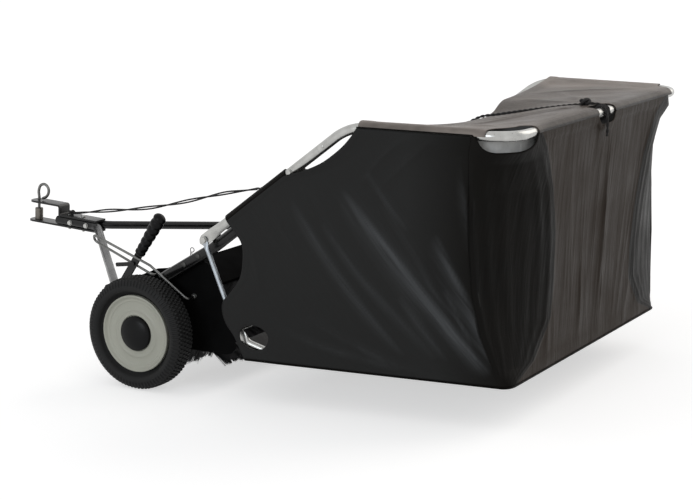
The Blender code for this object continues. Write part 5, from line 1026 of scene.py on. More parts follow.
def skirt():
    """Sides and rear of the bag as one sheet: its rows run from the left front edge round to the right one.

    The fold map is the girth from the middle of the rear, slanted on the sides, against the height.
    """
    sleeve = np.linspace((0.2762, 0.4797), (0.4487, 0.6092), 30)
    edge = np.vstack([smooth_through(FRONT_EDGE, 0.004), sleeve, smooth_through(FREE_EDGE, 0.004)])
    left, left_crest, left_reach, rear_z, share = skirt_side(edge, 1)
    right, right_crest, right_reach = skirt_side(edge, -1)[:3]
    cols = np.unique(np.concatenate([np.linspace(-1, 1, 130), np.linspace(-0.12, 0.16, 24)]).round(5))[None]
    x = np.where(cols < 0, left_reach[:, None], right_reach[:, None]) * -cols
    z = rear_z[:, None] + 0 * x
    edges = np.clip((1 - np.abs(cols)) / 0.05, 0, 1)
    fade = np.clip(np.sin(math.pi * share), 0, 1) ** 0.5 * (1 - 0.3 * share)
    fold = (waves(x, 0.3 * z, 5) * 0.014 + rear_folds(x, share)) * fade[:, None] * edges
    pocket = 0.0025 * np.clip((0.722 - z) / 0.006, 0, 1) * np.clip((z - 0.14) / 0.02, 0, 1)
    rear = np.stack([x, rear_skin_y(rear_z)[:, None] + fold - pocket * edges, z], axis=-1)
    # Painted light: a painted sheen along the pleats, and the rear in the lighter, browner copy of the cloth
    rear_crest = np.stack([fold / 0.030, 1 + 0 * x], axis=-1)
    sheet = np.concatenate([left, rear[:, 1:-1], right[:, ::-1]], axis=1)
    crest = np.concatenate([left_crest, rear_crest[:, 1:-1], right_crest[:, ::-1]], axis=1)
    # The upper edge dips at the bare tube bends and at the rope
    top_row = sheet[-1]
    bare = np.clip(np.abs(top_row[:, 0]) - REAR_CUT[0], 0, 1)
    past = np.clip(top_row[:, 1] - (BAG_REAR_Y - REAR_CUT[1] - 0.012), 0, 1)
    bare_share = np.clip(np.minimum(bare / 0.07, past / 0.045), 0, 1)
    dip = 0.040 * np.sqrt(1 - (1 - bare_share) ** 2)
    dip = dip + np.where(top_row[:, 1] > 1.0, top_dip(top_row[:, 0]), 0)
    sheet[..., 2] -= dip * np.clip((sheet[..., 2] - 0.60) / (TOP_Z - 0.60), 0, 1)
    kept = cut_ovals(sheet)
    # Maps
    plan = np.linalg.norm(np.diff(sheet[..., :2], axis=1), axis=2)
    girth = np.concatenate([np.zeros((SKIRT_ROWS, 1)), np.cumsum(plan, axis=1)], axis=1)
    middle = np.argmin(np.abs(sheet[0, :, 0]) + (sheet[0, :, 1] < 1))
    girth = girth - girth[:, middle:middle + 1]
    slant = np.zeros(sheet.shape[1])
    slant[:SIDE_COLS], slant[-SIDE_COLS:] = 0.87, 0.87
    folds = np.stack([slant * sheet[..., 2] - np.abs(girth), sheet[..., 2]], axis=-1)
    return sheet, kept, np.stack([girth, sheet[..., 2]], axis=-1), folds, crest


def cut_ovals(sheet):
    """Take the cells inside each side's oval out of the sheet, and move the points round it onto its rim."""
    low = np.where(sheet[..., 2] < OVAL[1], OVAL[3], OVAL[4])
    reach = np.hypot((sheet[..., 1] - OVAL[0]) / OVAL[2], (sheet[..., 2] - OVAL[1]) / low)
    near = np.abs(sheet[..., 0]) > 0.5
    middle = (reach[:-1, :-1] + reach[1:, :-1] + reach[:-1, 1:] + reach[1:, 1:]) / 4
    gone = (middle < 1) & near[:-1, :-1] & near[1:, 1:]
    touched, used = np.zeros(reach.shape, bool), np.zeros(reach.shape, bool)
    for corner in ((0, 0), (0, 1), (1, 0), (1, 1)):
        part = tuple(slice(k, size - 1 + k) for k, size in zip(corner, reach.shape))
        touched[part] |= gone
        used[part] |= ~gone
    scale = np.where(touched & used, 1 / np.maximum(reach, 1e-6), 1)
    for axis in (0, 1):
        sheet[..., axis + 1] = OVAL[axis] + (sheet[..., axis + 1] - OVAL[axis]) * scale
    return ~gone


def rear_edge(across, full):
    """How far back the top panel reaches: all the way, but for a cut at each bare bend and at the rope."""
    half, deep = np.where(across > 0, 0.135, 0.110), np.where(across > 0, 0.084, 0.074)
    part = np.clip((np.abs(across) - 0.580) / half, -1, 1)
    cut = np.where(np.abs(across) > 0.580 - half, BAG_REAR_Y - deep * np.sqrt(1 - part**2), 9.0)
    rope = np.clip(np.abs(across - ROPE_CUT[0]) / ROPE_CUT[1], 0, 1)
    rope_cut = np.where(rope < 1, full - (full - 1.024) * (1 - rope**6) ** 0.4, 9.0)
    return np.minimum(np.minimum(full, cut), rope_cut)


def top_panel():
    """Top of the bag: flat between the tubes but for its sag, and turned down over them in a quarter circle.

    Its front edge is a scallop. Its hems stand out a little, and folds fan out from the rope.
    """
    round_r, tube_x = 0.0165, 0.558
    full = TOP_REAR_Y + round_r * math.pi / 2
    near_edges = [
        s * places for places in (np.linspace(0.70, 0.82, 30), np.linspace(0.955, 1, 14)) for s in (1, -1)
    ]
    p = np.unique(
        np.concatenate([np.linspace(-1, 1, 141), *near_edges, np.linspace(-0.10, 0.13, 50)]).round(5)
    )
    q = np.concatenate([np.linspace(0, 0.9, 60)[:-1], np.linspace(0.9, 1, 16)])[:, None]
    across = p * (tube_x + round_r * math.pi / 2)
    x_flat = np.clip(across, -tube_x, tube_x)
    front = 0.657 + (0.058 - 0.016 * tighter(x_flat)) * np.maximum(0, 1 - (x_flat / BAG_HALF_WIDTH) ** 2)
    y_run = front + (rear_edge(across, full) - front) * q
    widen = np.interp(y_run, (0.6255, TOP_REAR_Y), (SIDE_TUBE_X, TOP_REAR_X)) / tube_x
    turn_x = np.clip((np.abs(across) - tube_x) / round_r, 0, math.pi / 2)
    turn_y = np.clip((y_run - TOP_REAR_Y) / round_r, 0, math.pi / 2)
    x = np.sign(across) * (np.abs(x_flat) * widen + round_r * np.sin(turn_x))
    y = np.minimum(y_run, TOP_REAR_Y) + round_r * np.sin(turn_y)
    z = top_skin_z(x_flat, y_run) - round_r * (2 - np.cos(turn_x) - np.cos(turn_y))
    slack = np.clip((y_run - front) / 0.03, 0, 1) * np.clip((1.03 - y_run) / 0.04, 0, 1)
    slack = slack * np.clip((0.53 - np.abs(x_flat)) / 0.05, 0, 1)
    ripple = 0.0016 * np.sin(26 * x_flat + 9 * y_run) * np.sin(11 * x_flat + 1)
    z = z + slack * (ripple + waves(x_flat, y_run, 11) * 0.018)
    for x0, y0, x1, y1, width, height in TOP_FOLDS:
        places = [(x0, y0), ((x0 + x1) / 2, (y0 + y1) / 2), (x1, y1)]
        z = z + slack * ridge(x_flat + 0 * y_run, y_run, places, width, height)
    z = z + 0.0010 * (y_run - front < 0.022)
    z = z + 0.0008 * ((y_run > TOP_REAR_Y - 0.030) & (y_run < TOP_REAR_Y - 0.002))
    uv = np.stack(np.broadcast_arrays(across[None], y_run), axis=-1)
    # Painted light: the top is lighter towards its sides and on the rolls over the side tubes, a painted
    # highlight; the roll over the rear tube takes the painted shade of the rear, and the seam line at the
    # rear edge is dark
    light = 0.75 * np.clip((np.abs(across) - 0.30) / 0.22, 0, 1) + 0.6 * turn_x - 0.2 * turn_y
    seam = (q > 0.985) * (np.abs(across - ROPE_CUT[0]) > ROPE_CUT[1])
    crest = np.stack(np.broadcast_arrays(light, 0.5 * np.clip(turn_y / 0.6, 0, 1) + 0.5 * seam), axis=-1)
    return np.stack([x, y, z], axis=-1), None, uv, uv * (0.35, 1.5), crest


def bottom_panel():
    """Floor of the bag: it follows the lower tubes up to the cross rod and hangs a little between them."""
    y = np.concatenate([np.linspace(0.292, 0.42, 20)[:-1], np.linspace(0.42, 1.030, 60)])[:, None]
    z = np.interp(y, (0.292, 0.322, 0.420, 1.1), (0.156, 0.1335, BAG_LOW, BAG_LOW))
    rounding = np.clip((y - 0.94) / 0.09, 0, 1)
    p = np.linspace(-1, 1, 111)[None]
    x = (side_skin_x(y, z) - 0.002 - 0.052 * (1 - np.sqrt(1 - 0.98 * rounding**2))) * p
    hang = np.clip((1 - np.abs(p)) / 0.12, 0, 1) * np.clip((y - 0.27) / 0.1, 0, 1)
    hang = hang * np.clip((1.03 - y) / 0.08, 0, 1)
    z = z - hang * (0.004 + 0.5 * np.abs(waves(x, y, 21)) * 0.03)
    points = np.stack(np.broadcast_arrays(x, y, z), axis=-1)
    return points, None, points[..., :2], None, None


def hopper_point(along):
    """(y, z) place on the line of the side tubes, at a distance from the pivot."""
    return PIVOT + along * ALONG


def corner_lining(side):
    """Grey inner coating behind the bare tube bend, from just inside the tube down past the cut-out's lower
    edge, painted far lighter than the coating elsewhere: painted light where light falls in through the cut.

    In plan it is a conic from the side to the rear, drawn inwards by less at its foot than at its top.
    """
    s = np.linspace(0, 1, 44)[None]
    t = np.linspace(0, 1, 16)[:, None]
    start, corner, end = np.array([0.570, 0.930]), np.array([0.570, 1.066]), np.array([0.415, 1.066])
    draw = 0.024 - 0.014 * t + 0.0016 * np.sin(46 * s + 6 * t) * t
    places = conic(start, corner, end, 0.5, s) + unit(end - start - (0, 2 * 0.136)) * draw[..., None]
    z = 0.741 - 0.058 * t + 0 * s
    return np.concatenate([places, z[..., None]], axis=-1) * (side, 1, 1)


def cloth(name, sheet, look, sharp, thickness=CLOTH_T):
    """A sheet of the bag, with its thickness inwards and the grey coating on its inner face."""
    made = piece(name, [sheet], look, "hopper", ["hopper_bag"], sharp, closed=False)
    made.data.materials.append(bag_lining)
    wall = made.modifiers.new("cloth", "SOLIDIFY")
    wall.thickness, wall.offset, wall.material_offset = thickness, -1, 1


def trim(name, grid):
    """A closed trim of the bag in its own fabric."""
    piece(name, [grid], bag_fabric, "hopper", ["hopper_bag"])


def bag():
    """The bag's sheets, its foot piping, and each side's sleeve, upper welt and painted-light corner lining.
    """
    sides = skirt()
    foot, tops = sides[0][0] + (0, 0, 0.0005), sides[0][-1]
    cloth("bag_sides", sides, bag_fabric, 70)
    cloth("bag_top", top_panel(), bag_top_fabric, 60)
    cloth("bag_bottom", bottom_panel(), bag_fabric, 60)
    trim("bag_piping", rod(foot[::2], 0.0028, (0, 0, 1), 8, spacing=0.05))
    for side, word in SIDES:
        # Painted light: a light sheet of inner coating in the corner, where light falls in through the cut
        cloth(f"bag_lining_{word}", corner_lining(side), corner_painted_light, 60, 0.0012)
        line = sided(at_x(SIDE_TUBE_X, [hopper_point(0.099), hopper_point(0.321)]), side)
        trim(f"bag_sleeve_{word}", tube(line, TUBE_R + 0.0036, 0.0020, sides=36, spacing=0.006))
        edge = tops[(side * tops[:, 0] > 0.44) & (tops[:, 1] < 0.975)]
        edge = edge[np.argsort(edge[:, 1])] + (side * 0.0004, 0, 0.002)
        trim(f"bag_welt_{word}", rod(edge[::3], 0.0017, (0, 0, 1), 8, spacing=0.05))


# Tubes and bolts of the hopper

def both_sides(half):
    """Corners of a run that starts at the left, crosses the middle and comes back mirrored on the right."""
    return half + [(-x, y, z) for x, y, z in half[::-1]]


def top_frame():
    """Upper tube: from the left joint up its side, across the rear and back to the right joint."""
    joint, bend = hopper_point(JOINT_ALONG + GAP), hopper_point((TOP_Z - PIVOT[1]) / ALONG[1])
    half = [(SIDE_TUBE_X, *joint), (SIDE_TUBE_X, *bend), (TOP_REAR_X, TOP_REAR_Y, TOP_Z)]
    path = rounded_path(both_sides(half), [0.170, 0.075, 0.075, 0.170], 16)
    stand_in("top_frame", "tube", [tube(path, TUBE_R, across=(0, -0.2, 1))], zinc)


def lower_frame():
    """Lower tube: from the left pressed end along the bag's foot, across the rear and forward again.

    Its pressed ends are thin along X, so its rings stand upright.
    """
    half_width = math.pi * LOWER_R / 2
    front, second = np.array([SIDE_TUBE_X, *LOWER_FRONT]), np.array([SIDE_TUBE_X, 0.322, 0.158])
    half = [
        tuple(front + 0.9 * half_width * unit(front - second)), tuple(second), (0.560, 0.420, LOWER_Z),
        (LOWER_REAR_X, LOWER_REAR_Y, LOWER_Z),
    ]
    path = rounded_path(both_sides(half), [0.050, 0.120, 0.060, 0.060, 0.120, 0.050], 12)
    run = run_of(path)
    marks = half_width * np.linspace(0.001, 2 + PAD_BLEND, 20)
    places = np.unique(np.concatenate([run, np.linspace(0, run[-1], 150), marks, run[-1] - marks]).round(6))
    near = np.minimum(places, places[-1] - places)
    flat, tip = flatness(near, half_width, 2.0), half_width * tip_width(near, half_width)
    grid = hollow_rings(read_at(path, places), LOWER_R, TUBE_WALL, flat, tip, (0, 0, 1), 24, upright=True)
    stand_in("lower_frame", "tube", [grid], zinc)


def cross_rod():
    """Thin rod through the ends of the lower tube and the struts, with a nut on either side of them."""
    r, big, inside, reach = CROSS_ROD_R, 0.0072, 0.5680, STRUT_X + 0.0016
    nuts = [
        (inside - 0.005, r), (inside - 0.005, 0.84 * big), (inside - 0.0043, 0.97 * big, 6),
        (inside, big, 6), (inside, r), (reach, r), (reach, big, 6), (reach + 0.0043, 0.97 * big, 6),
        (reach + 0.005, 0.84 * big), (reach + 0.005, r), (reach + 0.0068, r), (reach + 0.0075, 0.003),
        (reach + 0.0075, 0),
    ]
    profile = [(-row[0], *row[1:]) for row in nuts[::-1]] + nuts
    stand_in("cross_rod", "round", [spun(profile, LOWER_FRONT)], zinc)


def side_tube(side, word):
    """Straight tube from the pressed eye at the pivot to the joint, and the snap button past the joint."""
    ends = at_x(SIDE_TUBE_X, [hopper_point(-0.9 * math.pi * TUBE_R / 2), hopper_point(JOINT_ALONG)])
    grid = tube(sided(ends, side), TUBE_R, pads=("start",), pad_share=0.76)
    stand_in(f"side_tube_{word}", "round", [grid], zinc)
    low, crown = SIDE_TUBE_X + 0.009, SIDE_TUBE_X + TUBE_R - 0.0002
    button = [(low, 0), (low, BUTTON_R), (crown, BUTTON_R)]
    button += [
        (crown + 0.0016 * math.sin(t), BUTTON_R * math.cos(t)) for t in np.linspace(0, math.pi / 2, 7)
    ]
    grid = spun(button, hopper_point(JOINT_ALONG + 0.016), side, 24)
    piece(f"snap_button_{word}", [grid], zinc, "hopper")


def strut(side, word):
    """Thin tube from the pivot bolt down to the cross rod, pressed flat at both ends."""
    top, foot = np.array([STRUT_X, *PIVOT]), np.array([STRUT_X, *LOWER_FRONT])
    more = 0.9 * math.pi * STRUT_R / 2 * unit(foot - top)
    grid = tube(
        sided([top - more, foot + more], side), STRUT_R, STRUT_WALL, pads=("start", "end"), pad=1.6,
        sides=20, spacing=0.006, pad_share=0.85,
    )
    stand_in(f"strut_{word}", "round", [grid], blue_zinc)


def rest_pin(side, word):
    """Bolt through the side tube, with the sleeve on it that lies on the arm tube."""
    r, near, far, head = REST_PIN_R, 0.5183, 0.5570, SIDE_TUBE_X + TUBE_R + GAP
    profile = [
        (0.5143, 0), (0.5143, 0.003), (0.5150, r), (near, r), (near, SLEEVE_R), (far, SLEEVE_R), (far, r),
        (head, r), (head, 0.0078), (head + 0.0008, 0.0078), (head + 0.0008, 0.0072, 6),
        (head + 0.0046, 0.0070, 6), (head + 0.0054, 0.0058), (head + 0.0054, 0),
    ]
    stand_in(f"rest_pin_{word}", "round", [spun(profile, hopper_point(REST_PIN_ALONG), side)], zinc)


# Chassis

def cotter(x, place):
    """A hair cotter: a straight wire through the pin, turned back in a round loop above it."""
    y, z = place
    a = np.radians(np.linspace(-20, 300, 15))
    loop = np.column_stack([y + 0.006 * np.sin(a), z + 0.033 - 0.006 * np.cos(a)])
    back = [(y - 0.0062, z + 0.012), (y - 0.0045, z + 0.004), (y - 0.0062, z - 0.006)]
    wire = np.vstack([[(y, z - 0.012), (y, z + 0.012)], loop, back])
    return rod(smooth_through(at_x(x, wire), 0.002), 0.0011, sides=8, spacing=1.0)


def brush_hood():
    """Hood: an arc of sheet with a lip standing out at its rear edge, carried along X, with closed ends."""
    a = np.radians(np.linspace(*HOOD_ANGLES, 90))
    out = np.column_stack([np.cos(a), np.sin(a)])
    lip = out[0] * (HOOD_R + HOOD_LIP * np.linspace(1, 0, 5)[:-1, None])
    behind = np.array([-out[0][1], out[0][0]])
    outer = np.vstack([lip + behind * HOOD_T, out * HOOD_R]) + (BRUSH_Y, BRUSH_Z)
    inner = np.vstack([lip, out * (HOOD_R - HOOD_T)]) + (BRUSH_Y, BRUSH_Z)
    loop, middle = np.vstack([outer, inner[::-1], outer[:1]]), (outer + inner) / 2
    middle = np.vstack([middle, middle[::-1], middle[:1]])
    xs = np.linspace(-PLATE_IN_X, PLATE_IN_X, 40)
    rings = [at_x(xs[0], middle), *[at_x(x, loop) for x in xs], at_x(xs[-1], middle)]
    stand_in("brush_hood", "sheet", [np.array(rings)], hood_paint_shaded)


def wire_guide():
    """Bent rod that guides the lever's latch, with a nut on each end inside the plate and one outside it."""
    end, low = PLATE_IN_X - 0.009, PLATE_IN_X - 0.005
    corners = [
        (end, *GUIDE_BOLT_PLACE), (UPPER_LEG_X, *GUIDE_BOLT_PLACE), (UPPER_LEG_X, 0.003, 0.325),
        (UPPER_LEG_X, -0.183, 0.390), (LOWER_LEG_X, -0.190, 0.3705), (LOWER_LEG_X, *GUIDE_LOW_PLACE),
        (end, *GUIDE_LOW_PLACE),
    ]
    wire = rod(rounded_path(corners, [0.010, 0.040, 0.0095, 0.0095, 0.008]), GUIDE_R, (0.02, 0.35, 1.0), 16)
    inside = [
        (low, 0), (low, 0.0055), (low + 0.0007, GUIDE_NUT_R, 6), (PLATE_IN_X, GUIDE_NUT_R, 6),
        (PLATE_IN_X, 0),
    ]
    outside = [
        (PLATE_X, 0), (PLATE_X, 0.0085), (PLATE_X + 0.0012, 0.0085), (PLATE_X + 0.0012, GUIDE_NUT_R, 6),
        (PLATE_X + 0.0055, 0.0063, 6), (PLATE_X + 0.006, 0.0052), (PLATE_X + 0.006, 0),
    ]
    nuts = [spun(inside, place, 1, 24) for place in (GUIDE_BOLT_PLACE, GUIDE_LOW_PLACE)]
    stand_in("wire_guide", "round", [wire, *nuts, spun(outside, GUIDE_BOLT_PLACE, 1, 24)], grey_zinc)


def arm_tube(side, word):
    """Bent tube outside the plate, which the hopper rests on."""
    corners = [ARM_BEND - ARM_LOW_LENGTH * ARM_LOW, ARM_BEND, ARM_BEND + ARM_HIGH_LENGTH * ALONG]
    path = rounded_path(at_x(ARM_X, corners), [0.15], 12)
    stand_in(f"arm_tube_{word}", "round", [tube(sided(path, side), ARM_R, ARM_WALL)], black_steel)


def arm_cap(side, word):
    """Plug in the upper end of the arm tube: its crown is (rise sin t, radius cos^0.5 t)."""
    t = np.linspace(0.25, math.pi / 2, 10)[:-1]
    crown = np.column_stack([0.0045 * np.sin(t), ARM_R * np.cos(t) ** 0.5])
    profile = [
        (-0.018, 0), (-0.018, 0.0120), (-0.0165, 0.0127), (0, 0.0127), (0, ARM_R - 0.0005), (0.0005, ARM_R),
        *map(tuple, crown), (0.0045, 0),
    ]
    heading, origin = np.array([0, *ALONG]), (ARM_X, *(ARM_BEND + (ARM_HIGH_LENGTH + GAP) * ALONG))
    basis = [heading, (1, 0, 0), np.cross(heading, (1, 0, 0))]
    stand_in(f"arm_cap_{word}", "round", [spun(profile, side=side, turn=(basis, origin))], black_plastic)


def arm_pins(side, word):
    """Two clevis pins with domed heads and hair cotters, which hold the arm tube to the plate."""
    x_in, x_out = PLATE_X - PLATE_T - 0.012, ARM_OUTER_X + GAP
    pin = [(x_in, 0), (x_in, 0.003), (x_in + 0.001, ARM_PIN_R), (x_out, ARM_PIN_R), (x_out, ARM_PIN_HEAD_R)]
    for t in np.linspace(0, math.pi / 2, 6):
        pin.append((x_out + 0.0006 + 0.002 * math.sin(t), ARM_PIN_HEAD_R * math.cos(t)))
    for end, back in ARM_PIN_BACK:
        place = ARM_BEND - back * ARM_LOW
        grids = [spun(pin, place, side, 28), sided(cotter(x_in + 0.005, place), side)]
        stand_in(f"arm_pin_{word}_{end}", "round", grids, dull_zinc)


def axle_bolt(side, word):
    """Stub axle: a nut and a collar inside the plate, a spacer up to the hub, and a nut outside it."""
    low, nut = PLATE_IN_X - 0.012, PLATE_IN_X - 0.009
    profile = [
        (low, 0), (low, 0.0065), (low + 0.0008, AXLE_R), (nut, AXLE_R), (nut, COLLAR_R),
        (nut + 0.0008, 0.0128, 6), (PLATE_IN_X, 0.0128, 6), (PLATE_IN_X, AXLE_R), (PLATE_OUT_X, AXLE_R),
        (PLATE_OUT_X, COLLAR_R), (HUB_IN_X - GAP, COLLAR_R), (HUB_IN_X - GAP, AXLE_R),
        (HUB_OUT_X + GAP, AXLE_R), (HUB_OUT_X + GAP, 0.0125, 6), (HUB_OUT_X + 0.0035, 0.0122, 6),
        (HUB_OUT_X + 0.004, 0.0105), (HUB_OUT_X + 0.004, 0),
    ]
    stand_in(f"axle_bolt_{word}", "round", [spun(profile, (0, AXLE_Z), side)], zinc)


def pivot_bolt(side, word):
    """Shoulder bolt that the hopper swings on, with its nut inside the plate."""
    r, sleeve, head = PIVOT_BOLT_R, SIDE_TUBE_X - 0.0016 - GAP, STRUT_X + 0.0013 + GAP
    shoulder = [(PLATE_OUT_X, r), (PLATE_OUT_X, SLEEVE_R), (sleeve, SLEEVE_R), (sleeve, r)]
    profile = bolt(head, 0.0055, SLEEVE_R, r, PLATE_IN_X, 0.007, SLEEVE_R, 0.003, shoulder)
    stand_in(f"pivot_bolt_{word}", "round", [spun(profile, PIVOT, side)], zinc)


def tongue_bolt(side, word):
    """Bolt that the hitch tube tilts on. On the left, a shoulder carries the height lever off the plate."""
    r, big, inner = TONGUE_BOLT_R, TONGUE_SHOULDER_R, PLATE_IN_X - GAP - 0.0042
    head, shoulder = PLATE_OUT_X, ()
    if side > 0:
        head, lever = LEVER_X + LEVER_T / 2 + GAP, LEVER_X - LEVER_T / 2 - GAP
        shoulder = [(PLATE_OUT_X, r), (PLATE_OUT_X, big), (lever, big), (lever, r)]
    profile = bolt(head, 0.0055, big, r, inner, 0.007, big, 0.002, shoulder)
    stand_in(f"tongue_bolt_{word}", "round", [spun(profile, TONGUE, side)], zinc)


# Wheels

def tyre_profile():
    """The tyre's skin as (x, radius), from the inner seat over the crown to the outer seat."""
    w = TYRE_WIDTH
    return smooth_through([
        (0.0040, 0.1180), (0.0008, 0.1260), (0.0000, 0.1340), (0.0030, 0.1430), (0.0090, 0.1495),
        (0.0180, 0.1518), (0.5 * w, TYRE_R), (w - 0.0180, 0.1518), (w - 0.0095, 0.1495),
        (w - 0.0035, 0.1430), (w - 0.0002, 0.1340), (w, 0.1290), (w - 0.0014, 0.1220), (w - 0.0060, 0.1165),
        (w - 0.0150, 0.1115), (w - 0.0195, 0.1050),
    ], 0.0022)


def pulse(phase, width, soft):
    """1 in the middle of each whole step of the phase, 0 between: (width - |2 (phase mod 1) - 1|) / soft."""
    return np.clip((width - np.abs(np.mod(phase, 1) - 0.5) * 2) / soft, 0, 1)


def tyre_skin(side):
    """Tyre: its profile spun with the tread cut in. Radius = profile - depth x (1 - block).

    A block is the product of two smooth pulses, one round the tyre and one across it, and each row of blocks
    stands half a block out of step with the next. Ribs on the shoulder follow the same spacing.
    """
    line = tyre_profile()
    a = ring_angles(LUGS * 6)[None]
    x, r = line[:, :1], line[:, 1:]
    crown = np.clip((r - 0.1465) / 0.0035, 0, 1)
    across, round_it = x / (TYRE_WIDTH / 6), a * LUGS / (2 * math.pi)
    block = pulse(round_it + 0.5 * np.mod(np.floor(across), 2), 0.66, 0.16) * pulse(across, 0.80, 0.16)
    rib = pulse(round_it, 0.60, 0.25)
    shoulder = np.clip((r - 0.1285) / 0.003, 0, 1) * (1 - crown)
    out = np.where(x > TYRE_WIDTH / 2, 1.0, -1.0)
    x_all = TYRE_INNER_X + x - out * 0.0022 * (1 - rib) * shoulder
    r_all = r - LUG_DEPTH * (1 - block) * crown
    return sided(np.stack([x_all, r_all * np.cos(a), AXLE_Z + r_all * np.sin(a)], axis=-1), side)


def tyre(side, word):
    """Tyre: its skin, closed by the seat that lies on the disc's rim and drum."""
    skin, step = tyre_skin(side), DRUM_STEP_X + 0.0028
    seat = [
        (WHEEL_OUTER_X - 0.0195, 0.1050), (WHEEL_OUTER_X - 0.0200, DISC_R + GAP), (step, DISC_R + GAP),
        (step, DRUM_R + GAP), (TYRE_INNER_X + 0.0025, DRUM_R + GAP), (TYRE_INNER_X + 0.0040, 0.1180),
    ]
    base = spun(seat, (0, AXLE_Z), side, LUGS * 6)
    base[0], base[-1] = skin[-1], skin[0]
    stand_in(f"tyre_{word}", "tread", [np.vstack([skin, base[1:]])], rubber, sharp=30)


def wheel_disc(side, word):
    """Moulded disc: its hub, its drum behind, and the rings and hollows of its face."""
    face, step, rim_in, bore = WHEEL_OUTER_X - 0.013, DRUM_STEP_X, 0.100, AXLE_R + GAP
    rings = [
        (0.0012, 0.1035), (0.0022, 0.1015), (0.0015, 0.0990), (-0.0010, 0.0965), (-0.0035, 0.0935),
        (-0.0042, 0.0905), (-0.0040, 0.0880), (-0.0058, 0.0850), (-0.0066, 0.0780), (-0.0062, 0.0700),
        (-0.0048, 0.0660), (-0.0040, 0.0635), (-0.0046, 0.0610), (-0.0052, 0.0570), (-0.0046, 0.0530),
        (-0.0040, 0.0510), (-0.0042, 0.0495), (-0.0060, 0.0482), (-0.0070, 0.0478),
    ]
    front = smooth_through([(face + rise, r) for rise, r in rings], 0.0012)
    profile = [
        (HUB_IN_X, bore), (HUB_IN_X, HUB_R), (face - 0.012, HUB_R), (face - 0.012, rim_in), (step, rim_in),
        (step, DRUM_IN_R), (TYRE_INNER_X + 0.002, DRUM_IN_R), (TYRE_INNER_X + 0.002, DRUM_R),
        (step + 0.0025, DRUM_R), (step + 0.0025, DISC_R), (face + 0.0008, DISC_R), *map(tuple, front),
        (face - 0.007, HUB_R), (HUB_OUT_X, HUB_R), (HUB_OUT_X, bore), (HUB_IN_X, bore),
    ]
    stand_in(f"wheel_disc_{word}", "moulded", [spun(profile, (0, AXLE_Z), side, 96)], off_white)


def hub_cap(side, word):
    """Domed cap: a shell whose outside is (rise sin t, radius cos t), with a groove round its foot."""
    seat = WHEEL_OUTER_X - 0.013 - 0.007 + GAP
    lip, r = seat + 0.005, HUB_CAP_R
    t = np.linspace(math.radians(4), math.radians(90), 16)
    outside = np.column_stack([lip + HUB_CAP_RISE * np.sin(t), r * np.cos(t)])
    inside = np.column_stack([lip - 0.003 + (HUB_CAP_RISE - 0.001) * np.sin(t), (r - 0.003) * np.cos(t)])
    profile = [
        (seat, r - 0.003), *map(tuple, inside), *map(tuple, outside[::-1]), (lip - 0.0004, r),
        (lip - 0.0012, r - 0.0006), (lip - 0.002, r), (seat, r), (seat, r - 0.003),
    ]
    stand_in(f"hub_cap_{word}", "dome", [spun(profile, (0, AXLE_Z), side, 64)], black_plastic)


# Brush

def bristle_spikes(chance):
    """The bristles of one strip, in two lines of tufts, as a grid of three rings for each.

    A bristle is a three-sided spike along (x + lean s^1.6, root + (reach - root) s) for s from 0 to 1. Its
    tuft and its own seeded amount lean it, along and across the strip.
    """
    count = TUFTS * TUFT_BRISTLES
    x = (np.arange(TUFTS) + 0.5) / TUFTS * 2 * STRIP_HALF_LENGTH - STRIP_HALF_LENGTH
    line = np.where(np.arange(TUFTS) % 2, 0.0028, -0.0028)
    x = np.repeat(x, TUFT_BRISTLES) + chance.normal(0, 0.0016, count)
    off = np.repeat(line, TUFT_BRISTLES) + chance.normal(0, 0.0010, count)
    lean_x = np.repeat(chance.normal(0, 0.003, TUFTS), TUFT_BRISTLES) + chance.normal(0, 0.0038, count)
    lean_off = np.repeat(chance.normal(0, 0.003, TUFTS) + 2.4 * line, TUFT_BRISTLES)
    lean_off = lean_off + chance.normal(0, 0.0042, count)
    reach = BRISTLE_R - 0.0005 - np.abs(chance.normal(0, 0.0018, count))
    s, root = np.array([0.0, 0.45, 1.0])[:, None, None], CORE_HALF - 0.004
    r, a = np.array([0.00085, 0.00080, 0.00055])[:, None, None], ring_angles(3)[None, :, None]
    wide = x + lean_x * s**1.6 + r * np.cos(a)
    deep = off + lean_off * s**1.6 + r * np.sin(a)
    high = root + (reach - root) * s + 0 * a
    return np.stack([wide, high, deep], axis=-1).transpose(2, 0, 1, 3)


def bristle_strip(number):
    """One of the four strips: its spikes and the bar that holds them, turned to its place."""
    name = f"bristle_strip_{number + 1}"
    spikes = bristle_spikes(np.random.default_rng(40 + number))
    first = 12 * np.arange(len(spikes))[:, None]
    walls, tips = (grid_faces(3, 4) + first[..., None]).reshape(-1, 4), first + (8, 9, 10, 11)
    half, root = 0.0057, CORE_HALF - 0.0087
    box = np.array([(root, half), (CORE_HALF, half), (CORE_HALF, -half), (root, -half), (root, half)])
    middle = np.tile(((root + CORE_HALF) / 2, 0), (5, 1))
    low, high = -STRIP_HALF_LENGTH, STRIP_HALF_LENGTH
    bar = np.array([at_x(low, middle), at_x(low, box), at_x(high, box), at_x(high, middle)])
    turn = math.radians(BRUSH_ANGLE) + number * math.pi / 2
    c, s = math.cos(turn), math.sin(turn)
    spin = np.array([[1, 0, 0], [0, c, s], [0, -s, c]])
    points = np.vstack([spikes.reshape(-1, 3), bar.reshape(-1, 3)]) @ spin
    faces = np.vstack([walls, tips, grid_faces(4, 5) + 12 * len(spikes)])
    mesh = bpy.data.meshes.new(f"{name}_fine")
    mesh.from_pydata((points + (0, BRUSH_Y + AXLE_SHIFT, BRUSH_Z)).tolist(), [], faces.tolist())
    shaped = bmesh.new()
    shaped.from_mesh(mesh)
    bmesh.ops.remove_doubles(shaped, verts=shaped.verts, dist=2e-7)
    bmesh.ops.recalc_face_normals(shaped, faces=shaped.faces)
    shaped.to_mesh(mesh)
    shaped.free()
    shown(f"{name}_fine", mesh, bristle_black, "brush", [name])


# Tongue

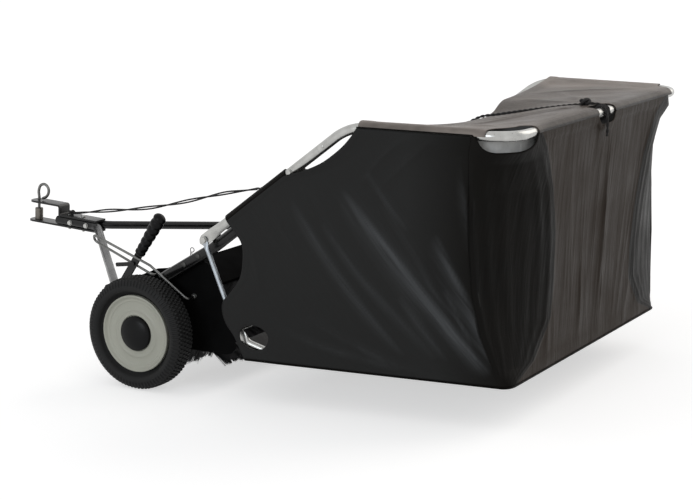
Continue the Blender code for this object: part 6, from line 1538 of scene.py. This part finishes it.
def hitch_place(x, along, above):
    """A point of the hitch head, which is tilted front up."""
    y = HITCH[0] + along * math.cos(HITCH_TILT) + above * math.sin(HITCH_TILT)
    z = HITCH[1] - along * math.sin(HITCH_TILT) + above * math.cos(HITCH_TILT)
    return np.array([x, y, z])


def upright(profile, along, steps=40):
    """A spun piece that stands square on the hitch head: its profile is (height, radius)."""
    up = np.array([0, math.sin(HITCH_TILT), math.cos(HITCH_TILT)])
    basis = [up, (1, 0, 0), np.cross(up, (1, 0, 0))]
    return spun(profile, steps=steps, turn=(basis, hitch_place(0, along, 0)))


def hitch_tube(side, word):
    """Tube from the hitch head back to its bolt, where it is pressed flat along the inside of the plate."""
    pad_x, half_width = PLATE_IN_X - 0.0022, math.pi * HITCH_TUBE_R / 2
    corners = [
        hitch_place(HITCH_TUBE_APART, HITCH_TUBE_FRONT, 0), hitch_place(HITCH_TUBE_APART, 0.010, 0),
        (pad_x, TONGUE[0] - 1.5 * half_width, TONGUE[1]), (pad_x, TONGUE[0] + half_width, TONGUE[1]),
    ]
    path = sided(rounded_path(corners, [0.060, 0.030], 14), side)
    grid = tube(path, HITCH_TUBE_R, HITCH_TUBE_WALL, pads=("end",))
    stand_in(f"hitch_tube_{word}", "round", [grid], black_steel)


def hitch_bolts():
    """Two bolts down through the straps and two across through the tubes."""
    top = HITCH_TUBE_R + 2 * GAP + STRAP_T
    for word, along in TOP_BOLT_PLACES:
        profile = bolt(
            top, HITCH_HEAD_T, HITCH_HEAD_R, HITCH_BOLT_R, LOWER_STRAP_Z - GAP, HITCH_HEAD_T, HITCH_HEAD_R
        )
        stand_in(f"hitch_top_bolt_{word}", "round", [upright(profile, along)], zinc)
    seat = HITCH_TUBE_APART + HITCH_TUBE_R + GAP
    for word, along in SIDE_BOLT_PLACES:
        profile = bolt(seat, 0.0060, 0.0072, HITCH_BOLT_R, -seat, HITCH_HEAD_T, HITCH_HEAD_R)
        stand_in(f"hitch_side_bolt_{word}", "round", [spun(profile, hitch_place(0, along, 0)[1:])], zinc)


def hitch_spacer():
    """Bush that stands on the lower strap, round the pin."""
    base, bore, r = LOWER_STRAP_Z + STRAP_T + GAP, PIN_R + 0.0005, SPACER_R
    top = base + SPACER_HEIGHT
    profile = [
        (base, bore), (base, r - 0.0005), (base + 0.0005, r), (top - 0.001, r), (top, r - 0.001),
        (top, bore), (base, bore),
    ]
    stand_in("hitch_spacer", "round", [upright(profile, PIN_ALONG)], brown_steel)


def hitch_pin():
    """Bent-rod pin: one leg goes down through both straps, and the rest is a teardrop loop above them."""
    y, rest = PIN_ALONG, UPPER_STRAP_TOP + PIN_R + GAP
    loop = [
        (y, rest + 0.004), (y - 0.002, rest + 0.023), (y + 0.005, rest + 0.041), (y + 0.021, rest + 0.047),
        (y + 0.035, rest + 0.038), (y + 0.037, rest + 0.022), (y + 0.028, rest + 0.008), (y + 0.0115, rest),
    ]
    line = np.vstack([[(y, LOWER_STRAP_Z), (y, 0.0), (y, rest - 0.006)], smooth_through(loop, 0.003)])
    places = np.array([hitch_place(0, along, above) for along, above in line])
    stand_in("hitch_pin", "round", [rod(places, PIN_R, sides=18)], grey_zinc)


def lever_grip():
    """Grip on the height lever: five swollen ribs that grow towards a domed end. It is thinner across."""
    pitch, ribs = (GRIP_LENGTH - 0.032) / GRIP_RIBS, []
    for k in range(GRIP_RIBS):
        start, wide = 0.012 + k * pitch, 0.0131 + 0.0035 * k / (GRIP_RIBS - 1)
        ribs += [
            (start + 0.96 * pitch * s, wide + 0.0022 * math.sin(math.pi * s) ** 0.8)
            for s in np.linspace(0, 1, 7)
        ]
    t = np.radians(np.linspace(0, 90, 12))
    dome = np.column_stack([GRIP_LENGTH - 0.014 * (1 - np.sin(t)), 0.0184 * np.cos(t)])
    profile = [
        (0, 0), (0, 0.0120), (0.002, 0.0148), (0.008, 0.0150), *ribs, (0.1165, 0.0170), *map(tuple, dome)
    ]
    heading, origin = np.array([0, *LEVER_UP]), (LEVER_X, *(TONGUE + LEVER_UP * GRIP_START))
    basis = [heading, (0.86, 0, 0), np.cross(heading, (1, 0, 0))]
    stand_in("lever_grip", "ribbed", [spun(profile, turn=(basis, origin))], black_plastic)


# Solids that stay

def dress_solids():
    """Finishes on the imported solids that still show, with their corners welded and some edges rounded."""
    for name, obj in frame["nodes"].items():
        if obj.hide_render:
            continue
        # The plates take the shaded copy of the black paint
        look = plate_paint_shaded if name.startswith("side_plate") else LOOKS[SLOT_OF[name]]
        if obj.material_slots:
            for place in obj.material_slots:
                place.material = look
        else:
            obj.data.materials.append(look)
        weld = obj.modifiers.new("weld", "WELD")
        weld.merge_threshold = 0.00002
        if name.startswith(("side_plate", "hitch_plate", "height_lever", "lever_latch", "brush_shaft")):
            edge = obj.modifiers.new("edge", "BEVEL")
            edge.width, edge.segments, edge.limit_method = 0.0005, 2, "ANGLE"
            edge.angle_limit = math.radians(45)


# Floor and light

def seen_rays(tree):
    """1 where a ray is seen: straight from the camera, in a mirror or through glass."""
    ray = node(tree, "ShaderNodeLightPath").outputs
    links = [(0, ray["Is Camera Ray"]), (1, ray["Is Glossy Ray"])]
    direct = node(tree, "ShaderNodeMath", links, operation="MAXIMUM")
    links = [(0, direct.outputs[0]), (1, ray["Is Transmission Ray"])]
    return node(tree, "ShaderNodeMath", links, operation="MAXIMUM").outputs[0]


def white_floor():
    """A wide floor that takes soft shadows. Where it is seen it glows, so that it meets the surround."""
    mesh = bpy.data.meshes.new("floor")
    mesh.from_pydata([(-30, -30, 0), (30, -30, 0), (30, 30, 0), (-30, 30, 0)], [], [(0, 1, 2, 3)])
    floor = bpy.data.objects.new("floor", mesh)
    bpy.context.collection.objects.link(floor)
    look = bpy.data.materials.new("white floor")
    look.use_nodes = True
    tree = look.node_tree
    tree.nodes.clear()
    white = node(tree, "ShaderNodeBsdfDiffuse", in_Color=(0.80, 0.80, 0.80, 1))
    bright = node(tree, "ShaderNodeMath", [(0, seen_rays(tree))], operation="MULTIPLY", in_1=FLOOR_GLOW)
    glow = node(tree, "ShaderNodeEmission", [("Strength", bright.outputs[0])])
    both = node(tree, "ShaderNodeAddShader", [(0, white.outputs[0]), (1, glow.outputs[0])])
    node(tree, "ShaderNodeOutputMaterial", [(0, both.outputs[0])])
    mesh.materials.append(look)


def surround():
    """A surround that is whiter seen than as a light, a warm sun from the right rear and a cool side sun."""
    world = bpy.data.worlds.new("studio")
    bpy.context.scene.world = world
    world.use_nodes = True
    tree = world.node_tree
    tree.nodes.clear()
    lit = node(tree, "ShaderNodeBackground", in_Color=(1, 1, 1, 1), in_Strength=WORLD_LIGHT)
    plain = node(tree, "ShaderNodeBackground", in_Color=(1, 1, 1, 1), in_Strength=1.0)
    mix = node(
        tree, "ShaderNodeMixShader", [(0, seen_rays(tree)), (1, lit.outputs[0]), (2, plain.outputs[0])]
    )
    node(tree, "ShaderNodeOutputWorld", [(0, mix.outputs[0])])
    sun("key", (-0.76, 0.40, 0.50), 45, 0.75, (1.0, 0.94, 0.88))
    sun("side", (0.97, -0.10, 0.26), 22, 0.6, (0.86, 0.93, 1.0))


ropes()
bag()
for whole in (top_frame, lower_frame, cross_rod, brush_hood, wire_guide):
    whole()
for side, word in SIDES:
    for paired in (side_tube, strut, rest_pin, arm_tube, arm_cap, arm_pins):
        paired(side, word)
    for paired in (axle_bolt, pivot_bolt, tongue_bolt, tyre, wheel_disc, hub_cap, hitch_tube):
        paired(side, word)
for number in range(4):
    bristle_strip(number)
for whole in (hitch_bolts, hitch_spacer, hitch_pin, lever_grip):
    whole()
dress_solids()
white_floor()
surround()
bpy.context.scene.view_settings.view_transform = "Standard"
